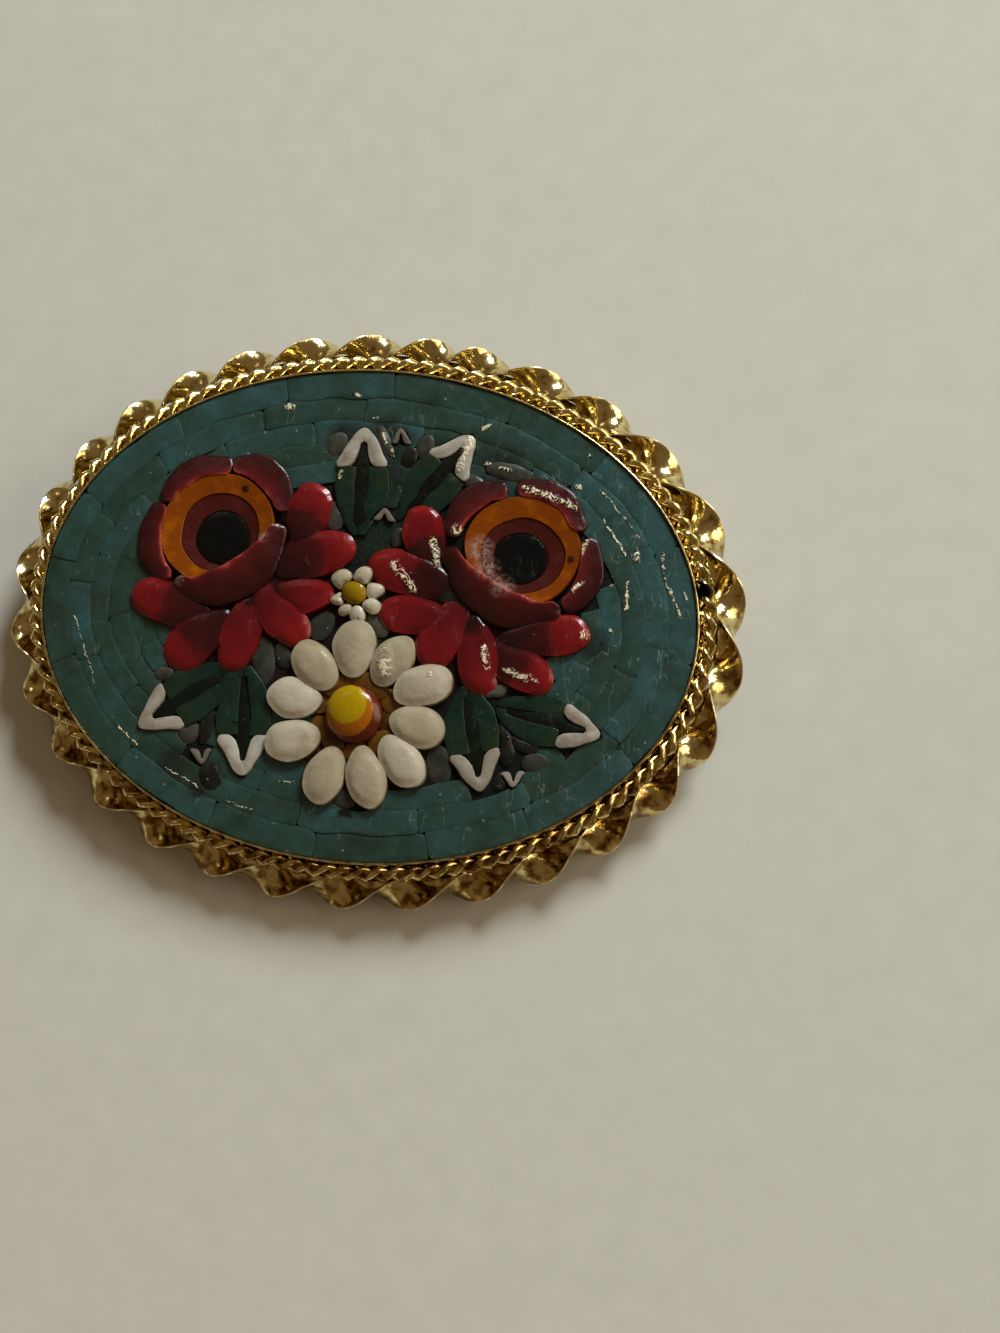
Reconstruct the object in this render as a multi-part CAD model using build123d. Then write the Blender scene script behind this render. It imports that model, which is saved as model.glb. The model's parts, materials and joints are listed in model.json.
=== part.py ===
"""Mosaic brooch: two roses, a daisy and leaves of glass stones on a teal ground.

The stones stand in a bed of cement in an oval cup. A rope of two twisted wires and a broad
twisted strip are soldered round the cup, and a plain pin fitting lies on its back.

Millimetres. The brooch is drawn flat: the origin is the middle of the oval, z = 0 is the top
edge of the bezel, +X runs along the oval and +Z comes out of its face. At the end it is tipped
into the pose in which it lies on a table, on its pin fitting and the lower edge of its border.
"""
from build123d import *
import os
from math import atan, atan2, cos, degrees, hypot, pi, radians, sin

# The oval field of stones, inside the bezel
mosaic_length = 36.0
mosaic_width = 26.4

# The cup
bezel_wall = 0.22           # the thin upstanding edge that holds the stones
cup_depth = 1.9             # from the bezel's edge down to the floor
floor_thickness = 0.4
collar_wall = 0.85          # the thicker lower wall that the strip is soldered to
collar_drop = 1.18          # from the bezel's edge down to the collar's shoulder
solder_bite = 0.12          # how far the strip's edge sinks into the collar's solder

# The rope: two wires twisted together
rope_diameter = 0.8
rope_drop = 0.72            # from the bezel's edge down to the rope's middle
rope_seat = 0.05            # how far the rope sinks into the bezel's solder
rope_turns = 54
rope_steps_per_turn = 4
rope_valley = 0.24          # the rope's narrow way across, as a share of its wide way
rope_directions = (90, 35, -35, -90)    # where the rope's outline has corners, in degrees

# The border: one flat strip twisted all the way round
strip_width = 1.75
strip_thickness = 0.32
strip_drop = 1.75           # from the bezel's edge down to the strip's middle line
strip_steps_per_bump = 6

# Where the strip stands on edge and reaches furthest out, in degrees round the oval. It makes
# half a turn from one such bump to the next. Its two ends meet between the sixth and the seventh.
strip_bumps = [
    10.5, 25.5, 40.5, 53, 64.5, 76.5, 84, 94, 104.5, 115.5, 126, 137, 148.5, 160.5, 174,
    188, 200.5, 213.5, 226, 238, 249, 260, 271.5, 282.5, 294, 305, 317, 329, 341, 355.5,
]

# The cement and the stones' heights
cement_clearance = 0.03
stone_depth = 0.9           # from the top of the ground stones down to the cement
ground_drop = 0.12          # from the bezel's edge down to the ground stones
stone_gap = 0.12            # between one stone and the next
leaf_rise = 0.10            # each rise is measured up from the ground stones
grey_rise = 0.06
petal_edge_rise = 0.22
petal_rise = 0.62
heart_edge_rise = 0.30
heart_rise = 0.95
amber_rise = 0.16
small_petal_rise = 0.42
small_heart_rise = 0.60
red_petal_rise = 0.40
outer_petal_rise = 0.42
lip_rise = 0.62
orange_ring_rise = 0.36
maroon_ring_rise = 0.18
eye_rise = 0.02
smallest_stone = 0.45       # square millimetres; a smaller scrap of ground is left to cement

# The pin fitting on the back
pin_line = 3.5              # the pin lies this far above the oval's middle
pin_span = 26.0             # from the hinge to the catch
pin_diameter = 0.9
pin_overhang = 2.2          # how far the point stands out past the catch
plate_width = 3.2
plate_thickness = 0.5
knuckle_diameter = 1.4      # the round ends of the hinge and the catch
knuckle_width = 2.0
knuckle_drop = 0.85         # from the plate down to the pin's middle line
fitting_gap = 0.03

# The chart of stones is drawn on an oval of 36.0 by 26.4 parts, so each length in the tables
# below is a share of the mosaic's own length and width
chart_length = 36.0
chart_width = 26.4

round_sides = 16            # straight sides of a large round stone
small_sides = 10            # and of a small one
crescent_steps = 8
petal_taper = 0.08          # how much broader the far half of a daisy petal is
red_petal_taper = 0.15
crown_share = 0.72          # the ring of facets under a petal's crown, as a share of its outline
corner_limit = 2.0          # how far a sharp corner may run out when an outline is grown

# Petals of the daisy: x, y, length, width, turn of the long axis in degrees
daisy_petals = [
    (-0.03, -1.92, 2.78, 2.16, 90),
    (2.12, -2.38, 2.76, 1.88, 60),
    (3.94, -3.54, 2.86, 2.04, 24),
    (3.93, -5.77, 2.82, 2.12, -12),
    (3.27, -7.70, 2.90, 1.88, -44),
    (1.47, -8.77, 3.00, 1.98, -72),
    (-0.80, -8.86, 2.78, 2.02, -106),
    (-2.84, -7.18, 2.72, 2.06, 192),
    (-3.06, -4.88, 2.74, 2.04, 175),
    (-2.12, -2.98, 2.80, 2.02, 138),
]
daisy_heart = (0.38, -5.42, 3.10, 2.95, -50)

# Amber stones between the heart and the petals: x, y, length, width, turn
amber_stones = [
    (-0.80, -3.98, 1.15, 0.80, 30),
    (0.42, -3.62, 1.15, 0.60, 12),
    (1.45, -3.98, 0.90, 0.66, -30),
    (2.36, -4.56, 1.10, 0.85, -40),
    (2.22, -5.65, 1.20, 0.52, 95),
    (1.98, -6.75, 1.10, 0.75, 40),
    (0.68, -7.36, 1.00, 0.66, 10),
    (-0.62, -7.02, 1.00, 0.66, -30),
    (-1.32, -6.35, 1.05, 0.66, -60),
    (-1.42, -4.86, 1.10, 0.62, 75),
]

# The small daisy: petals, then its heart, in the same columns
small_petals = [
    (-1.14, 1.68, 1.22, 1.02, 135),
    (-0.05, 1.98, 1.02, 0.88, 80),
    (0.64, 1.26, 1.02, 0.76, 15),
    (0.62, 0.40, 0.98, 0.76, -25),
    (-0.12, -0.12, 0.86, 0.74, -80),
    (-0.80, 0.05, 0.66, 0.52, 225),
    (-1.22, 0.62, 0.86, 0.58, 200),
]
small_heart = (-0.44, 1.00, 1.24, 1.22, 0)

# Each rose: the lip, the eye and the two rings that its lip cuts off, then the petals.
# Crescents are rows of x, y at the start, middle and end, and width at the middle and ends.
# Rounds are rows of x, y, length, width, turn.
left_rose = {
    "lip": (-10.35, 0.62, -7.15, 1.02, -5.05, 4.25, 2.00, 0.55),
    "eye": (-8.15, 3.42, 3.00, 2.95, 0),
    "maroon_ring": (-8.34, 3.70, 4.35, 4.20, 20),
    "orange_ring": (-8.54, 3.88, 6.35, 5.90, 25),
    "outer_petals": [
        (-11.05, 0.95, -12.25, 3.00, -11.90, 4.75, 1.16, 0.62),
        (-11.65, 5.30, -10.35, 6.88, -8.30, 7.30, 1.14, 0.60),
        (-7.85, 7.42, -6.08, 7.10, -4.95, 5.35, 1.42, 0.62),
    ],
    "red_petals": [
        (-10.70, -0.42, 4.20, 2.10, 167),
        (-9.12, -2.42, 3.55, 2.40, 227),
        (-6.45, -1.90, 3.45, 2.05, 258),
        (-4.25, -0.62, 3.60, 2.10, -41),
        (-3.35, 0.62, 3.40, 1.66, 8),
        (-2.82, 2.92, 4.20, 2.20, 20),
        (-3.52, 5.12, 3.25, 2.15, 84),
    ],
}
right_rose = {
    "lip": (4.45, 3.80, 6.85, 1.28, 10.65, 1.05, 1.85, 0.55),
    "eye": (8.30, 3.66, 2.90, 2.66, 0),
    "maroon_ring": (8.40, 3.82, 4.50, 3.90, 0),
    "orange_ring": (8.36, 4.08, 6.20, 5.70, -15),
    "outer_petals": [
        (4.45, 4.72, 5.02, 6.32, 6.95, 7.18, 1.12, 0.60),
        (7.95, 7.45, 9.98, 6.98, 11.20, 5.55, 1.26, 0.58),
        (11.85, 4.75, 12.10, 3.00, 11.05, 1.35, 1.14, 0.60),
    ],
    "red_petals": [
        (2.98, 4.52, 2.85, 2.05, 108),
        (2.25, 2.34, 4.20, 2.15, 167),
        (2.95, 0.08, 3.65, 1.86, 176),
        (4.58, -0.86, 3.30, 2.12, 248),
        (6.68, -1.96, 3.45, 1.96, 284),
        (8.88, -2.10, 3.80, 1.90, -24),
        (10.30, -0.26, 4.15, 2.05, 8),
    ],
}

# Leaves: x, y of the base, x, y of the tip, width
leaves = [
    (-0.62, 4.25, -1.05, 10.10, 2.90),
    (1.62, 5.15, 4.95, 10.05, 2.85),
    (-6.75, -3.65, -11.45, -7.25, 2.95),
    (-5.95, -3.50, -5.35, -9.30, 2.95),
    (6.15, -3.35, 7.60, -8.78, 2.85),
    (7.95, -4.30, 13.55, -5.22, 2.55),
]
small_leaves = [
    (1.22, 7.95, 1.02, 10.15, 1.12),
    (0.62, 3.85, 0.62, 5.78, 1.25),
    (-7.95, -6.55, -7.70, -8.92, 1.25),
    (9.15, -6.15, 9.28, -8.40, 1.25),
]

# A leaf's half width at a few places from its base (0) to its tip (1), as shares
leaf_profile = [
    (0.00, 0.22), (0.12, 0.58), (0.28, 0.88), (0.45, 1.00), (0.62, 0.90),
    (0.76, 0.70), (0.88, 0.46), (0.96, 0.24), (1.00, 0.07),
]
tip_start = 0.64            # the white tip's arms begin here
tip_notch = 0.85            # and meet here
tip_inner = 0.26            # the arms' inner edge, as a share of the half width
small_tip_start = 0.62
small_tip_notch = 0.84
rib_half_width = 0.20       # as a share of the leaf's half width
rib_profile = [(0.10, 0.40), (0.45, 1.00), (tip_start, 0.85)]

# Grey and slate stones that fill between the flowers: x, y, length, width, turn
grey_stones = [
    (-2.52, 9.00, 1.35, 1.05, 60),
    (-2.12, 5.15, 1.55, 0.98, 100),
    (-2.02, -0.86, 1.60, 1.15, 60),
    (0.98, -0.58, 1.45, 0.88, -35),
    (-5.02, -3.00, 2.60, 1.16, 100),
    (-3.95, -2.68, 1.35, 0.80, 108),
    (5.22, -7.62, 1.95, 1.30, 105),
    (10.32, -6.92, 1.35, 0.86, 15),
    (7.72, -3.42, 1.25, 0.62, 15),
    (5.25, 7.52, 1.05, 0.66, -20),
    (2.42, 9.32, 1.25, 0.90, 80),
    (0.22, 9.38, 1.90, 0.52, 118),
    (1.52, 4.25, 1.00, 0.72, 70),
    (-8.72, -7.10, 1.55, 1.05, 105),
    (0.34, -9.98, 1.25, 0.86, 0),
    (7.20, 8.22, 2.60, 0.82, -8),
    (-10.52, -4.25, 0.95, 0.66, 20),
]
dark_stones = [
    (1.62, 8.60, 1.10, 0.72, 75),
    (8.62, -6.15, 2.30, 0.80, 104),
    (9.72, -5.98, 1.40, 0.95, -20),
    (-7.72, -6.75, 2.10, 0.66, 86),
    (8.62, -8.12, 0.95, 0.62, 60),
    (-7.12, -9.52, 1.50, 1.05, 120),
    (-4.72, 4.88, 0.80, 0.55, 80),
    (4.78, 1.55, 1.50, 0.90, 40),
]

# Rows of ground stones from the bezel inwards: width in the chart's parts, then the joints in
# degrees round the oval
ground_rows = [
    (1.42, [-5, 23, 47, 67, 89, 109, 131, 156, 173, 199, 226, 247, 267, 287, 306, 330]),
    (1.26, [-2, 26, 49, 71, 94, 114, 138, 158, 178, 201, 226, 244, 263, 286, 308, 331]),
    (1.18, [-12, 14, 36, 58, 82, 104, 124, 147, 169, 191, 215, 236, 254, 276, 297, 319]),
    (1.12, [-4, 20, 44, 66, 92, 116, 140, 166, 190, 216, 238, 262, 286, 310, 334]),
    (1.12, [-16, 12, 40, 66, 94, 122, 150, 178, 206, 228, 254, 282, 306, 326]),
    (1.20, [-8, 24, 54, 88, 120, 150, 184, 216, 246, 278, 308, 332]),
]
joint_steps = 4             # straight runs along each side of a ground stone

half_length = mosaic_length / 2
half_width = mosaic_width / 2
floor_level = -cup_depth
back_level = floor_level - floor_thickness
ground_level = -ground_drop
seat_level = ground_level - stone_depth
ring_steps = rope_turns * rope_steps_per_turn
strip_steps = len(strip_bumps) * strip_steps_per_bump
rope_out = bezel_wall + rope_diameter / 2 - rope_seat
strip_out = collar_wall + strip_width / 2 - solder_bite


def on_oval(turn, out, height):
    """A point beside the mosaic's edge: turn in radians round it, out from it, and a height."""
    across, up = cos(turn) / half_length, sin(turn) / half_width
    run = hypot(across, up)
    x = half_length * cos(turn) + out * across / run
    y = half_width * sin(turn) + out * up / run
    return (x, y, height)


def facet(*points):
    return Face(Wire.make_polygon(points, close=True))


def band(here, there, closed, other_diagonal=()):
    """Two facets between each pair of neighbouring points of two sections."""
    facets = []
    for k in range(len(here) if closed else len(here) - 1):
        after = (k + 1) % len(here)
        if k in other_diagonal:
            facets.append(facet(here[k], here[after], there[k]))
            facets.append(facet(here[after], there[after], there[k]))
        else:
            facets.append(facet(here[k], here[after], there[after]))
            facets.append(facet(here[k], there[after], there[k]))
    return facets


def rope_reach(direction, twist):
    """How far the twisted pair of wires reaches from its middle in one direction."""
    middle = (1 + rope_valley) / 2
    swing = (1 - rope_valley) / 2
    return rope_diameter / 2 * (middle + swing * cos(2 * (direction - twist)))


def cup_section(step):
    """The cup's outline at one step: floor, bezel, rope, collar and back."""
    turn = 2 * pi * step / ring_steps
    twist = 2 * pi * step / rope_steps_per_turn
    outline = [(0, floor_level), (0, 0), (bezel_wall, 0)]
    for direction in [radians(degree) for degree in rope_directions]:
        reach = rope_reach(direction, twist)
        outline.append((rope_out + reach * cos(direction), reach * sin(direction) - rope_drop))
    outline += [(collar_wall, -collar_drop), (collar_wall, back_level)]
    return [on_oval(turn, out, height) for out, height in outline]


def strip_section(step):
    """The four corners of the twisted strip at one step."""
    bump, part = divmod(step, strip_steps_per_bump)
    start = strip_bumps[bump]
    end = strip_bumps[(bump + 1) % len(strip_bumps)]
    share = part / strip_steps_per_bump
    turn = radians(start + (end - start) % 360 * share)
    twist = pi * (bump + share)
    corners = []
    for along, over in ((1, 1), (-1, 1), (-1, -1), (1, -1)):
        wide, thick = along * strip_width / 2, over * strip_thickness / 2
        out = strip_out + wide * cos(twist) - thick * sin(twist)
        height = wide * sin(twist) + thick * cos(twist) - strip_drop
        corners.append(on_oval(turn, out, height))
    return corners


def make_setting():
    sections = [cup_section(step) for step in range(ring_steps)]
    facets = []
    for here, there in zip(sections, sections[1:] + sections[:1]):
        facets += band(here, there, closed=False)
    facets.append(facet(*[section[0] for section in sections]))
    facets.append(facet(*[section[-1] for section in sections]))
    cup = Solid(Shell(facets))
    sections = [strip_section(step) for step in range(strip_steps)]
    facets = []
    for here, there in zip(sections, sections[1:] + sections[:1]):
        # the strip's two wide faces twist alike, so that the thin metal never crosses itself
        facets += band(here, there, closed=True, other_diagonal=(2,))
    return cup + Solid(Shell(facets))


def make_cement():
    inset = cement_clearance
    face = make_face(Ellipse(half_length - inset, half_width - inset).edges())
    height = seat_level - floor_level - 2 * inset
    return Pos(0, 0, floor_level + inset) * extrude(face, amount=height)


def make_pin():
    """A plain fitting in one piece: plate, hinge block, catch and pin."""
    top = back_level - fitting_gap
    axis = top - plate_thickness - knuckle_drop
    length = pin_span + knuckle_diameter
    plate = Pos(0, pin_line, top - plate_thickness / 2) * Box(length, plate_width, plate_thickness)
    fitting = plate
    for side in (1, -1):
        at = side * pin_span / 2
        neck_height = top - plate_thickness / 2 - axis
        neck = Box(knuckle_diameter, knuckle_width, neck_height)
        fitting += Pos(at, pin_line, axis + neck_height / 2) * neck
        round_end = Rot(90, 0, 0) * Cylinder(knuckle_diameter / 2, knuckle_width)
        fitting += Pos(at, pin_line, axis) * round_end
    wire = Cylinder(pin_diameter / 2, pin_span, align=(Align.CENTER, Align.CENTER, Align.MIN))
    point = Cone(pin_diameter / 2, pin_diameter / 8, pin_overhang)
    point = Pos(0, 0, pin_span + pin_overhang / 2) * point
    pin = Pos(pin_span / 2, pin_line, axis) * Rot(0, -90, 0) * (wire + point)
    return fitting + pin


def charted(points):
    """Take points from the chart's parts to millimetres."""
    across, up = mosaic_length / chart_length, mosaic_width / chart_width
    return [(x * across, y * up) for x, y in points]


def round_outline(x, y, length, width, turn, taper=0.0, sides=round_sides):
    """An egg-shaped outline; with a taper, its far end is the broader one."""
    points = []
    for k in range(sides):
        t = 2 * pi * k / sides
        along = length / 2 * cos(t)
        aside = width / 2 * sin(t) * (1 + taper * cos(t))
        way = radians(turn)
        px = x + along * cos(way) - aside * sin(way)
        py = y + along * sin(way) + aside * cos(way)
        points.append((px, py))
    return charted(points)


def arc_through(start, middle, end):
    """Centre, radius, first angle and sweep of the arc through three points."""
    (ax, ay), (bx, by), (cx, cy) = start, middle, end
    d = 2 * (ax * (by - cy) + bx * (cy - ay) + cx * (ay - by))
    a2, b2, c2 = ax * ax + ay * ay, bx * bx + by * by, cx * cx + cy * cy
    ox = (a2 * (by - cy) + b2 * (cy - ay) + c2 * (ay - by)) / d
    oy = (a2 * (cx - bx) + b2 * (ax - cx) + c2 * (bx - ax)) / d
    first, last = atan2(ay - oy, ax - ox), atan2(cy - oy, cx - ox)
    sweep = (last - first) % (2 * pi)
    if d < 0:
        sweep -= 2 * pi
    return ox, oy, hypot(ax - ox, ay - oy), first, sweep


def crescent_outline(x0, y0, x1, y1, x2, y2, middle, ends):
    """A bent stone along the arc through three points, broad in the middle."""
    ox, oy, radius, first, sweep = arc_through((x0, y0), (x1, y1), (x2, y2))
    inner, outer = [], []
    for k in range(crescent_steps + 1):
        share = k / crescent_steps
        half = (ends + (middle - ends) * sin(pi * share)) / 2
        way = first + sweep * share
        outer.append((ox + (radius + half) * cos(way), oy + (radius + half) * sin(way)))
        inner.append((ox + (radius - half) * cos(way), oy + (radius - half) * sin(way)))
    points = outer + inner[::-1]
    if sweep < 0:
        points.reverse()
    return charted(points)


def leaf_half(share):
    """A leaf's half width, as a share, at one place between its base and its tip."""
    for (s0, w0), (s1, w1) in zip(leaf_profile, leaf_profile[1:]):
        if share <= s1:
            return w0 + (w1 - w0) * (share - s0) / (s1 - s0)
    return leaf_profile[-1][1]


def leaf_points(leaf, places):
    """Chart points from places along a leaf (0 to 1) and across it (shares of half width)."""
    x0, y0, x1, y1, width = leaf
    length = hypot(x1 - x0, y1 - y0)
    ux, uy = (x1 - x0) / length, (y1 - y0) / length
    half = width / 2
    return charted([
        (x0 + length * s * ux - half * q * uy, y0 + length * s * uy + half * q * ux)
        for s, q in places
    ])


def leaf_tip_outline(leaf, start, notch):
    """The white V at a leaf's tip: out along one arm, round the point and back."""
    shares = [s for s, w in leaf_profile if s > start]
    right = [(start, -leaf_half(start))] + [(s, -leaf_half(s)) for s in shares]
    left = [(s, leaf_half(s)) for s in reversed(shares)] + [(start, leaf_half(start))]
    return leaf_points(leaf, right + left + [(start, tip_inner), (notch, 0), (start, -tip_inner)])


def leaf_rib_outline(leaf):
    right = [(s, -q * rib_half_width) for s, q in rib_profile]
    left = [(s, q * rib_half_width) for s, q in reversed(rib_profile)]
    return leaf_points(leaf, right + [(tip_notch, 0)] + left)


def leaf_blade_outline(leaf, side):
    shares = [s for s, w in leaf_profile if s < tip_start] + [tip_start]
    edge = [(s, side * leaf_half(s)) for s in shares]
    places = edge + [(tip_start, 0), (0, 0)]
    if side > 0:
        places.reverse()
    return leaf_points(leaf, places)


def grown(points, by):
    """Move each side of an outline outwards by one distance."""
    moved = []
    for k, (x, y) in enumerate(points):
        last_x, last_y = points[k - 1]
        next_x, next_y = points[(k + 1) % len(points)]
        before, after = hypot(x - last_x, y - last_y), hypot(next_x - x, next_y - y)
        out_x = (y - last_y) / before + (next_y - y) / after
        out_y = (last_x - x) / before + (x - next_x) / after
        run = hypot(out_x, out_y)
        reach = min(corner_limit, 2 / run) * by
        moved.append((x + reach * out_x / run, y + reach * out_y / run))
    return moved


def reach_of(points):
    xs, ys = [p[0] for p in points], [p[1] for p in points]
    return min(xs), min(ys), max(xs), max(ys)


def near(one, other):
    a, b = reach_of(one), reach_of(other)
    return a[0] < b[2] and b[0] < a[2] and a[1] < b[3] and b[1] < a[3]


def flat(points, height):
    return Face(Wire.make_polygon([(x, y, height) for x, y in points], close=True))


def fitted_faces(points, placed):
    """An outline as a face, cut back to keep the gap to the stones already placed."""
    face = flat(points, seat_level)
    cutters = [flat(grown(other, stone_gap), seat_level) for other in placed if near(points, other)]
    if not cutters:
        return [face]
    left = face.cut(*cutters)
    return sorted(left.faces(), key=lambda piece: -piece.area)


def block(face, rise):
    return Solid.extrude(face, (0, 0, stone_depth + rise))


def pebble(points, edge_rise, rise):
    """A stone with upright sides and a domed top made of two rings of facets and a fan."""
    cx = sum(x for x, y in points) / len(points)
    cy = sum(y for x, y in points) / len(points)
    edge_level = ground_level + edge_rise
    crown_level = edge_level + crown_share * (rise - edge_rise)
    rings = []
    for scale, height in ((1, seat_level), (1, edge_level), (crown_share, crown_level)):
        rings.append([(cx + (x - cx) * scale, cy + (y - cy) * scale, height) for x, y in points])
    top = (cx, cy, ground_level + rise)
    facets = [facet(*rings[0])]
    for lower, upper in zip(rings, rings[1:]):
        facets += band(lower, upper, closed=True)
    for k, point in enumerate(rings[-1]):
        facets.append(facet(point, rings[-1][(k + 1) % len(points)], top))
    return Solid(Shell(facets))


def ground_outline(outer, inner, first, last):
    """One ground stone between two distances inside the bezel and two turns round the oval."""
    turns = [first + (last - first) * k / joint_steps for k in range(joint_steps + 1)]
    far = [on_oval(turn, -outer, 0)[:2] for turn in turns]
    close = [on_oval(turn, -inner, 0)[:2] for turn in reversed(turns)]
    return far + close


def make_ground(placed):
    stones = []
    trim = stone_gap / 2
    outer = 0.0
    for width, joints in ground_rows:
        inner = outer + width * mosaic_width / chart_width
        for start, end in zip(joints, joints[1:] + [joints[0] + 360]):
            first, last = radians(start) + trim / half_width, radians(end) - trim / half_width
            outline = ground_outline(outer + trim, inner - trim, first, last)
            for piece in fitted_faces(outline, placed):
                if piece.area > smallest_stone:
                    stones.append(block(piece, 0))
        outer = inner
    return stones


def make_stones():
    """Every stone by node name, in the order in which the stones are fitted to each other."""
    nodes = {}
    placed = []

    def lay_pebble(name, row, edge_rise, rise, taper=0.0):
        outline = round_outline(*row, taper=taper)
        placed.append(outline)
        nodes[name] = [pebble(outline, edge_rise, rise)]

    def lay_blocks(name, outlines, rise):
        nodes.setdefault(name, [])
        for outline in outlines:
            nodes[name].append(block(fitted_faces(outline, placed)[0], rise))
            placed.append(outline)

    def lay_small(name, rows, rise):
        lay_blocks(name, [round_outline(*row, sides=small_sides) for row in rows], rise)

    for number, row in enumerate(daisy_petals, 1):
        lay_pebble(f"daisy_petal_{number}", row, petal_edge_rise, petal_rise, petal_taper)
    lay_pebble("daisy_heart", daisy_heart, heart_edge_rise, heart_rise)
    lay_pebble("small_daisy_heart", small_heart, petal_edge_rise, small_heart_rise)
    lay_small("small_daisy_petals", small_petals, small_petal_rise)
    lay_small("amber_stones", amber_stones, amber_rise)

    for side, rose in (("left", left_rose), ("right", right_rose)):
        lay_blocks(f"{side}_rose_lip", [crescent_outline(*rose["lip"])], lip_rise)
        for name, rise in (("eye", eye_rise), ("maroon_ring", maroon_ring_rise),
                           ("orange_ring", orange_ring_rise)):
            lay_blocks(f"{side}_rose_{name}", [round_outline(*rose[name])], rise)
        for number, row in enumerate(rose["outer_petals"], 1):
            name = f"{side}_rose_outer_petal_{number}"
            lay_blocks(name, [crescent_outline(*row)], outer_petal_rise)
        for number, row in enumerate(rose["red_petals"], 1):
            name = f"{side}_rose_red_petal_{number}"
            lay_blocks(name, [round_outline(*row, taper=red_petal_taper)], red_petal_rise)

    tips = [leaf_tip_outline(leaf, tip_start, tip_notch) for leaf in leaves]
    small_tips = [leaf_tip_outline(leaf, small_tip_start, small_tip_notch) for leaf in small_leaves]
    lay_blocks("leaf_tips", tips, leaf_rise)
    lay_blocks("small_leaf_tips", small_tips, leaf_rise)
    lay_blocks("leaf_ribs", [leaf_rib_outline(leaf) for leaf in leaves], leaf_rise)
    for number, leaf in enumerate(leaves, 1):
        blades = [leaf_blade_outline(leaf, side) for side in (-1, 1)]
        lay_blocks(f"leaf_{number}", blades, leaf_rise)
    lay_small("grey_stones", grey_stones, grey_rise)
    lay_small("dark_stones", dark_stones, grey_rise)
    nodes["ground_stones"] = make_ground(placed)
    return nodes


def resting_pose():
    """The tilt, in degrees, at which the border's low edge and the pin fitting touch a table."""
    lowest = back_level - fitting_gap - plate_thickness - knuckle_drop - knuckle_diameter / 2
    slope = None
    for step in range(strip_steps):
        for x, y, height in strip_section(step):
            if y < 0:
                rise = (height - lowest) / (pin_line - y)
                slope = rise if slope is None else min(slope, rise)
    return degrees(atan(slope))


def main():
    os.makedirs("parts", exist_ok=True)
    nodes = {"setting": [make_setting()], "pin_fitting": [make_pin()], "cement_bed": [make_cement()]}
    nodes.update(make_stones())
    tilt = resting_pose()
    tipped = {name: [Rot(tilt, 0, 0) * solid for solid in solids] for name, solids in nodes.items()}
    whole = Compound([solid for solids in tipped.values() for solid in solids]).bounding_box()
    shift = Pos(-whole.center().X, -whole.center().Y, -whole.min.Z)
    print(f"tilt {tilt:.4f} shift {shift.position}")
    for name, solids in tipped.items():
        moved = [shift * solid for solid in solids]
        export_step(moved[0] if len(moved) == 1 else Compound(moved), f"parts/{name}.step")
    print(len(nodes), "nodes,", sum(len(solids) for solids in nodes.values()), "solids")


main()
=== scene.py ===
# %% [markdown]
# # A mosaic brooch
# Small pieces of coloured glass stand on edge in dark cement, in an oval cup of gilt brass. A
# rope of two wires and a broad twisted strip are soldered round the cup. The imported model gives
# every piece its place, and this lesson gives each one its real surface.

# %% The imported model
import json
import random
from math import atan2, cos, hypot, pi, radians, sin

import bmesh
import bpy
import numpy as np
from mathutils import Matrix, Vector, noise
from mathutils.kdtree import KDTree


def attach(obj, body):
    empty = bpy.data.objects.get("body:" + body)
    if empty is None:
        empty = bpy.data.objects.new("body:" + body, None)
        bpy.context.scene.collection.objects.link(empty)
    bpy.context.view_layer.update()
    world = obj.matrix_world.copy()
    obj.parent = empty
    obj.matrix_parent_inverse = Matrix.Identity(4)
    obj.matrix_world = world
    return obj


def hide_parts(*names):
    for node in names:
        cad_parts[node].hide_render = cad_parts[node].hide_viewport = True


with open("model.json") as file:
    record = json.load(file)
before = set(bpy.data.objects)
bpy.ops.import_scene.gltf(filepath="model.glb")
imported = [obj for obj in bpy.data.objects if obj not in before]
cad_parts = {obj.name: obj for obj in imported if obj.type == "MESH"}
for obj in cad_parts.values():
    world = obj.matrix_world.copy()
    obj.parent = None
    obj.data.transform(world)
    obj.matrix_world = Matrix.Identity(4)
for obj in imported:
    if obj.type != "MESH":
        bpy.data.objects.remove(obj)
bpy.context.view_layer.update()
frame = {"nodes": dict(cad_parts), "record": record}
print(len(frame["nodes"]), "pieces in the packed model")

# %% [markdown]
# ## The brooch's own frame
# The brooch lies tipped on its pin, so its face isn't level. Work is easier on a flat face and in
# millimetres, as at a jeweller's bench. The pin's mount is recorded, so it tells how the brooch
# lies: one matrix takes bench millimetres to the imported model's metres, and its inverse goes back.

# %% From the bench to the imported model
pin_mount = frame["record"]["mounts"][0]
tilt = atan2(pin_mount["axis"][1], -pin_mount["axis"][2])
pin_on_bench = Vector((0, 3.5, -3.68))      # the same place in the bench's millimetres
metres = 0.001
to_row = Matrix.Translation(pin_mount["pos_m"]) @ Matrix.Rotation(tilt, 4, "X")
to_row = to_row @ Matrix.Scale(metres, 4) @ Matrix.Translation(-pin_on_bench)
to_bench = to_row.inverted()
print(f"the face is tipped by {tilt * 180 / pi:.2f} degrees")

# %% [markdown]
# ## The camera
# The photograph was taken from about 11 centimetres above the brooch, a little to its right and
# below. A camera set by eye would let the flowers drift against the photograph, so this one's
# place and its three directions were solved from it. They are given in the bench's millimetres.

# %% The camera
photo_height = 1333         # pixels
focal_length = 2100         # pixels
sensor_height = 36          # millimetres
nearest_seen = 0.001        # metres from the lens
camera_place = Vector((28.779, -14.005, 107.563))
camera_right = Vector((0.97732, 0.11621, -0.17702))
camera_up = Vector((-0.09436, 0.98737, 0.12725))
camera_back = Vector((0.18958, -0.10766, 0.97595))

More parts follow.
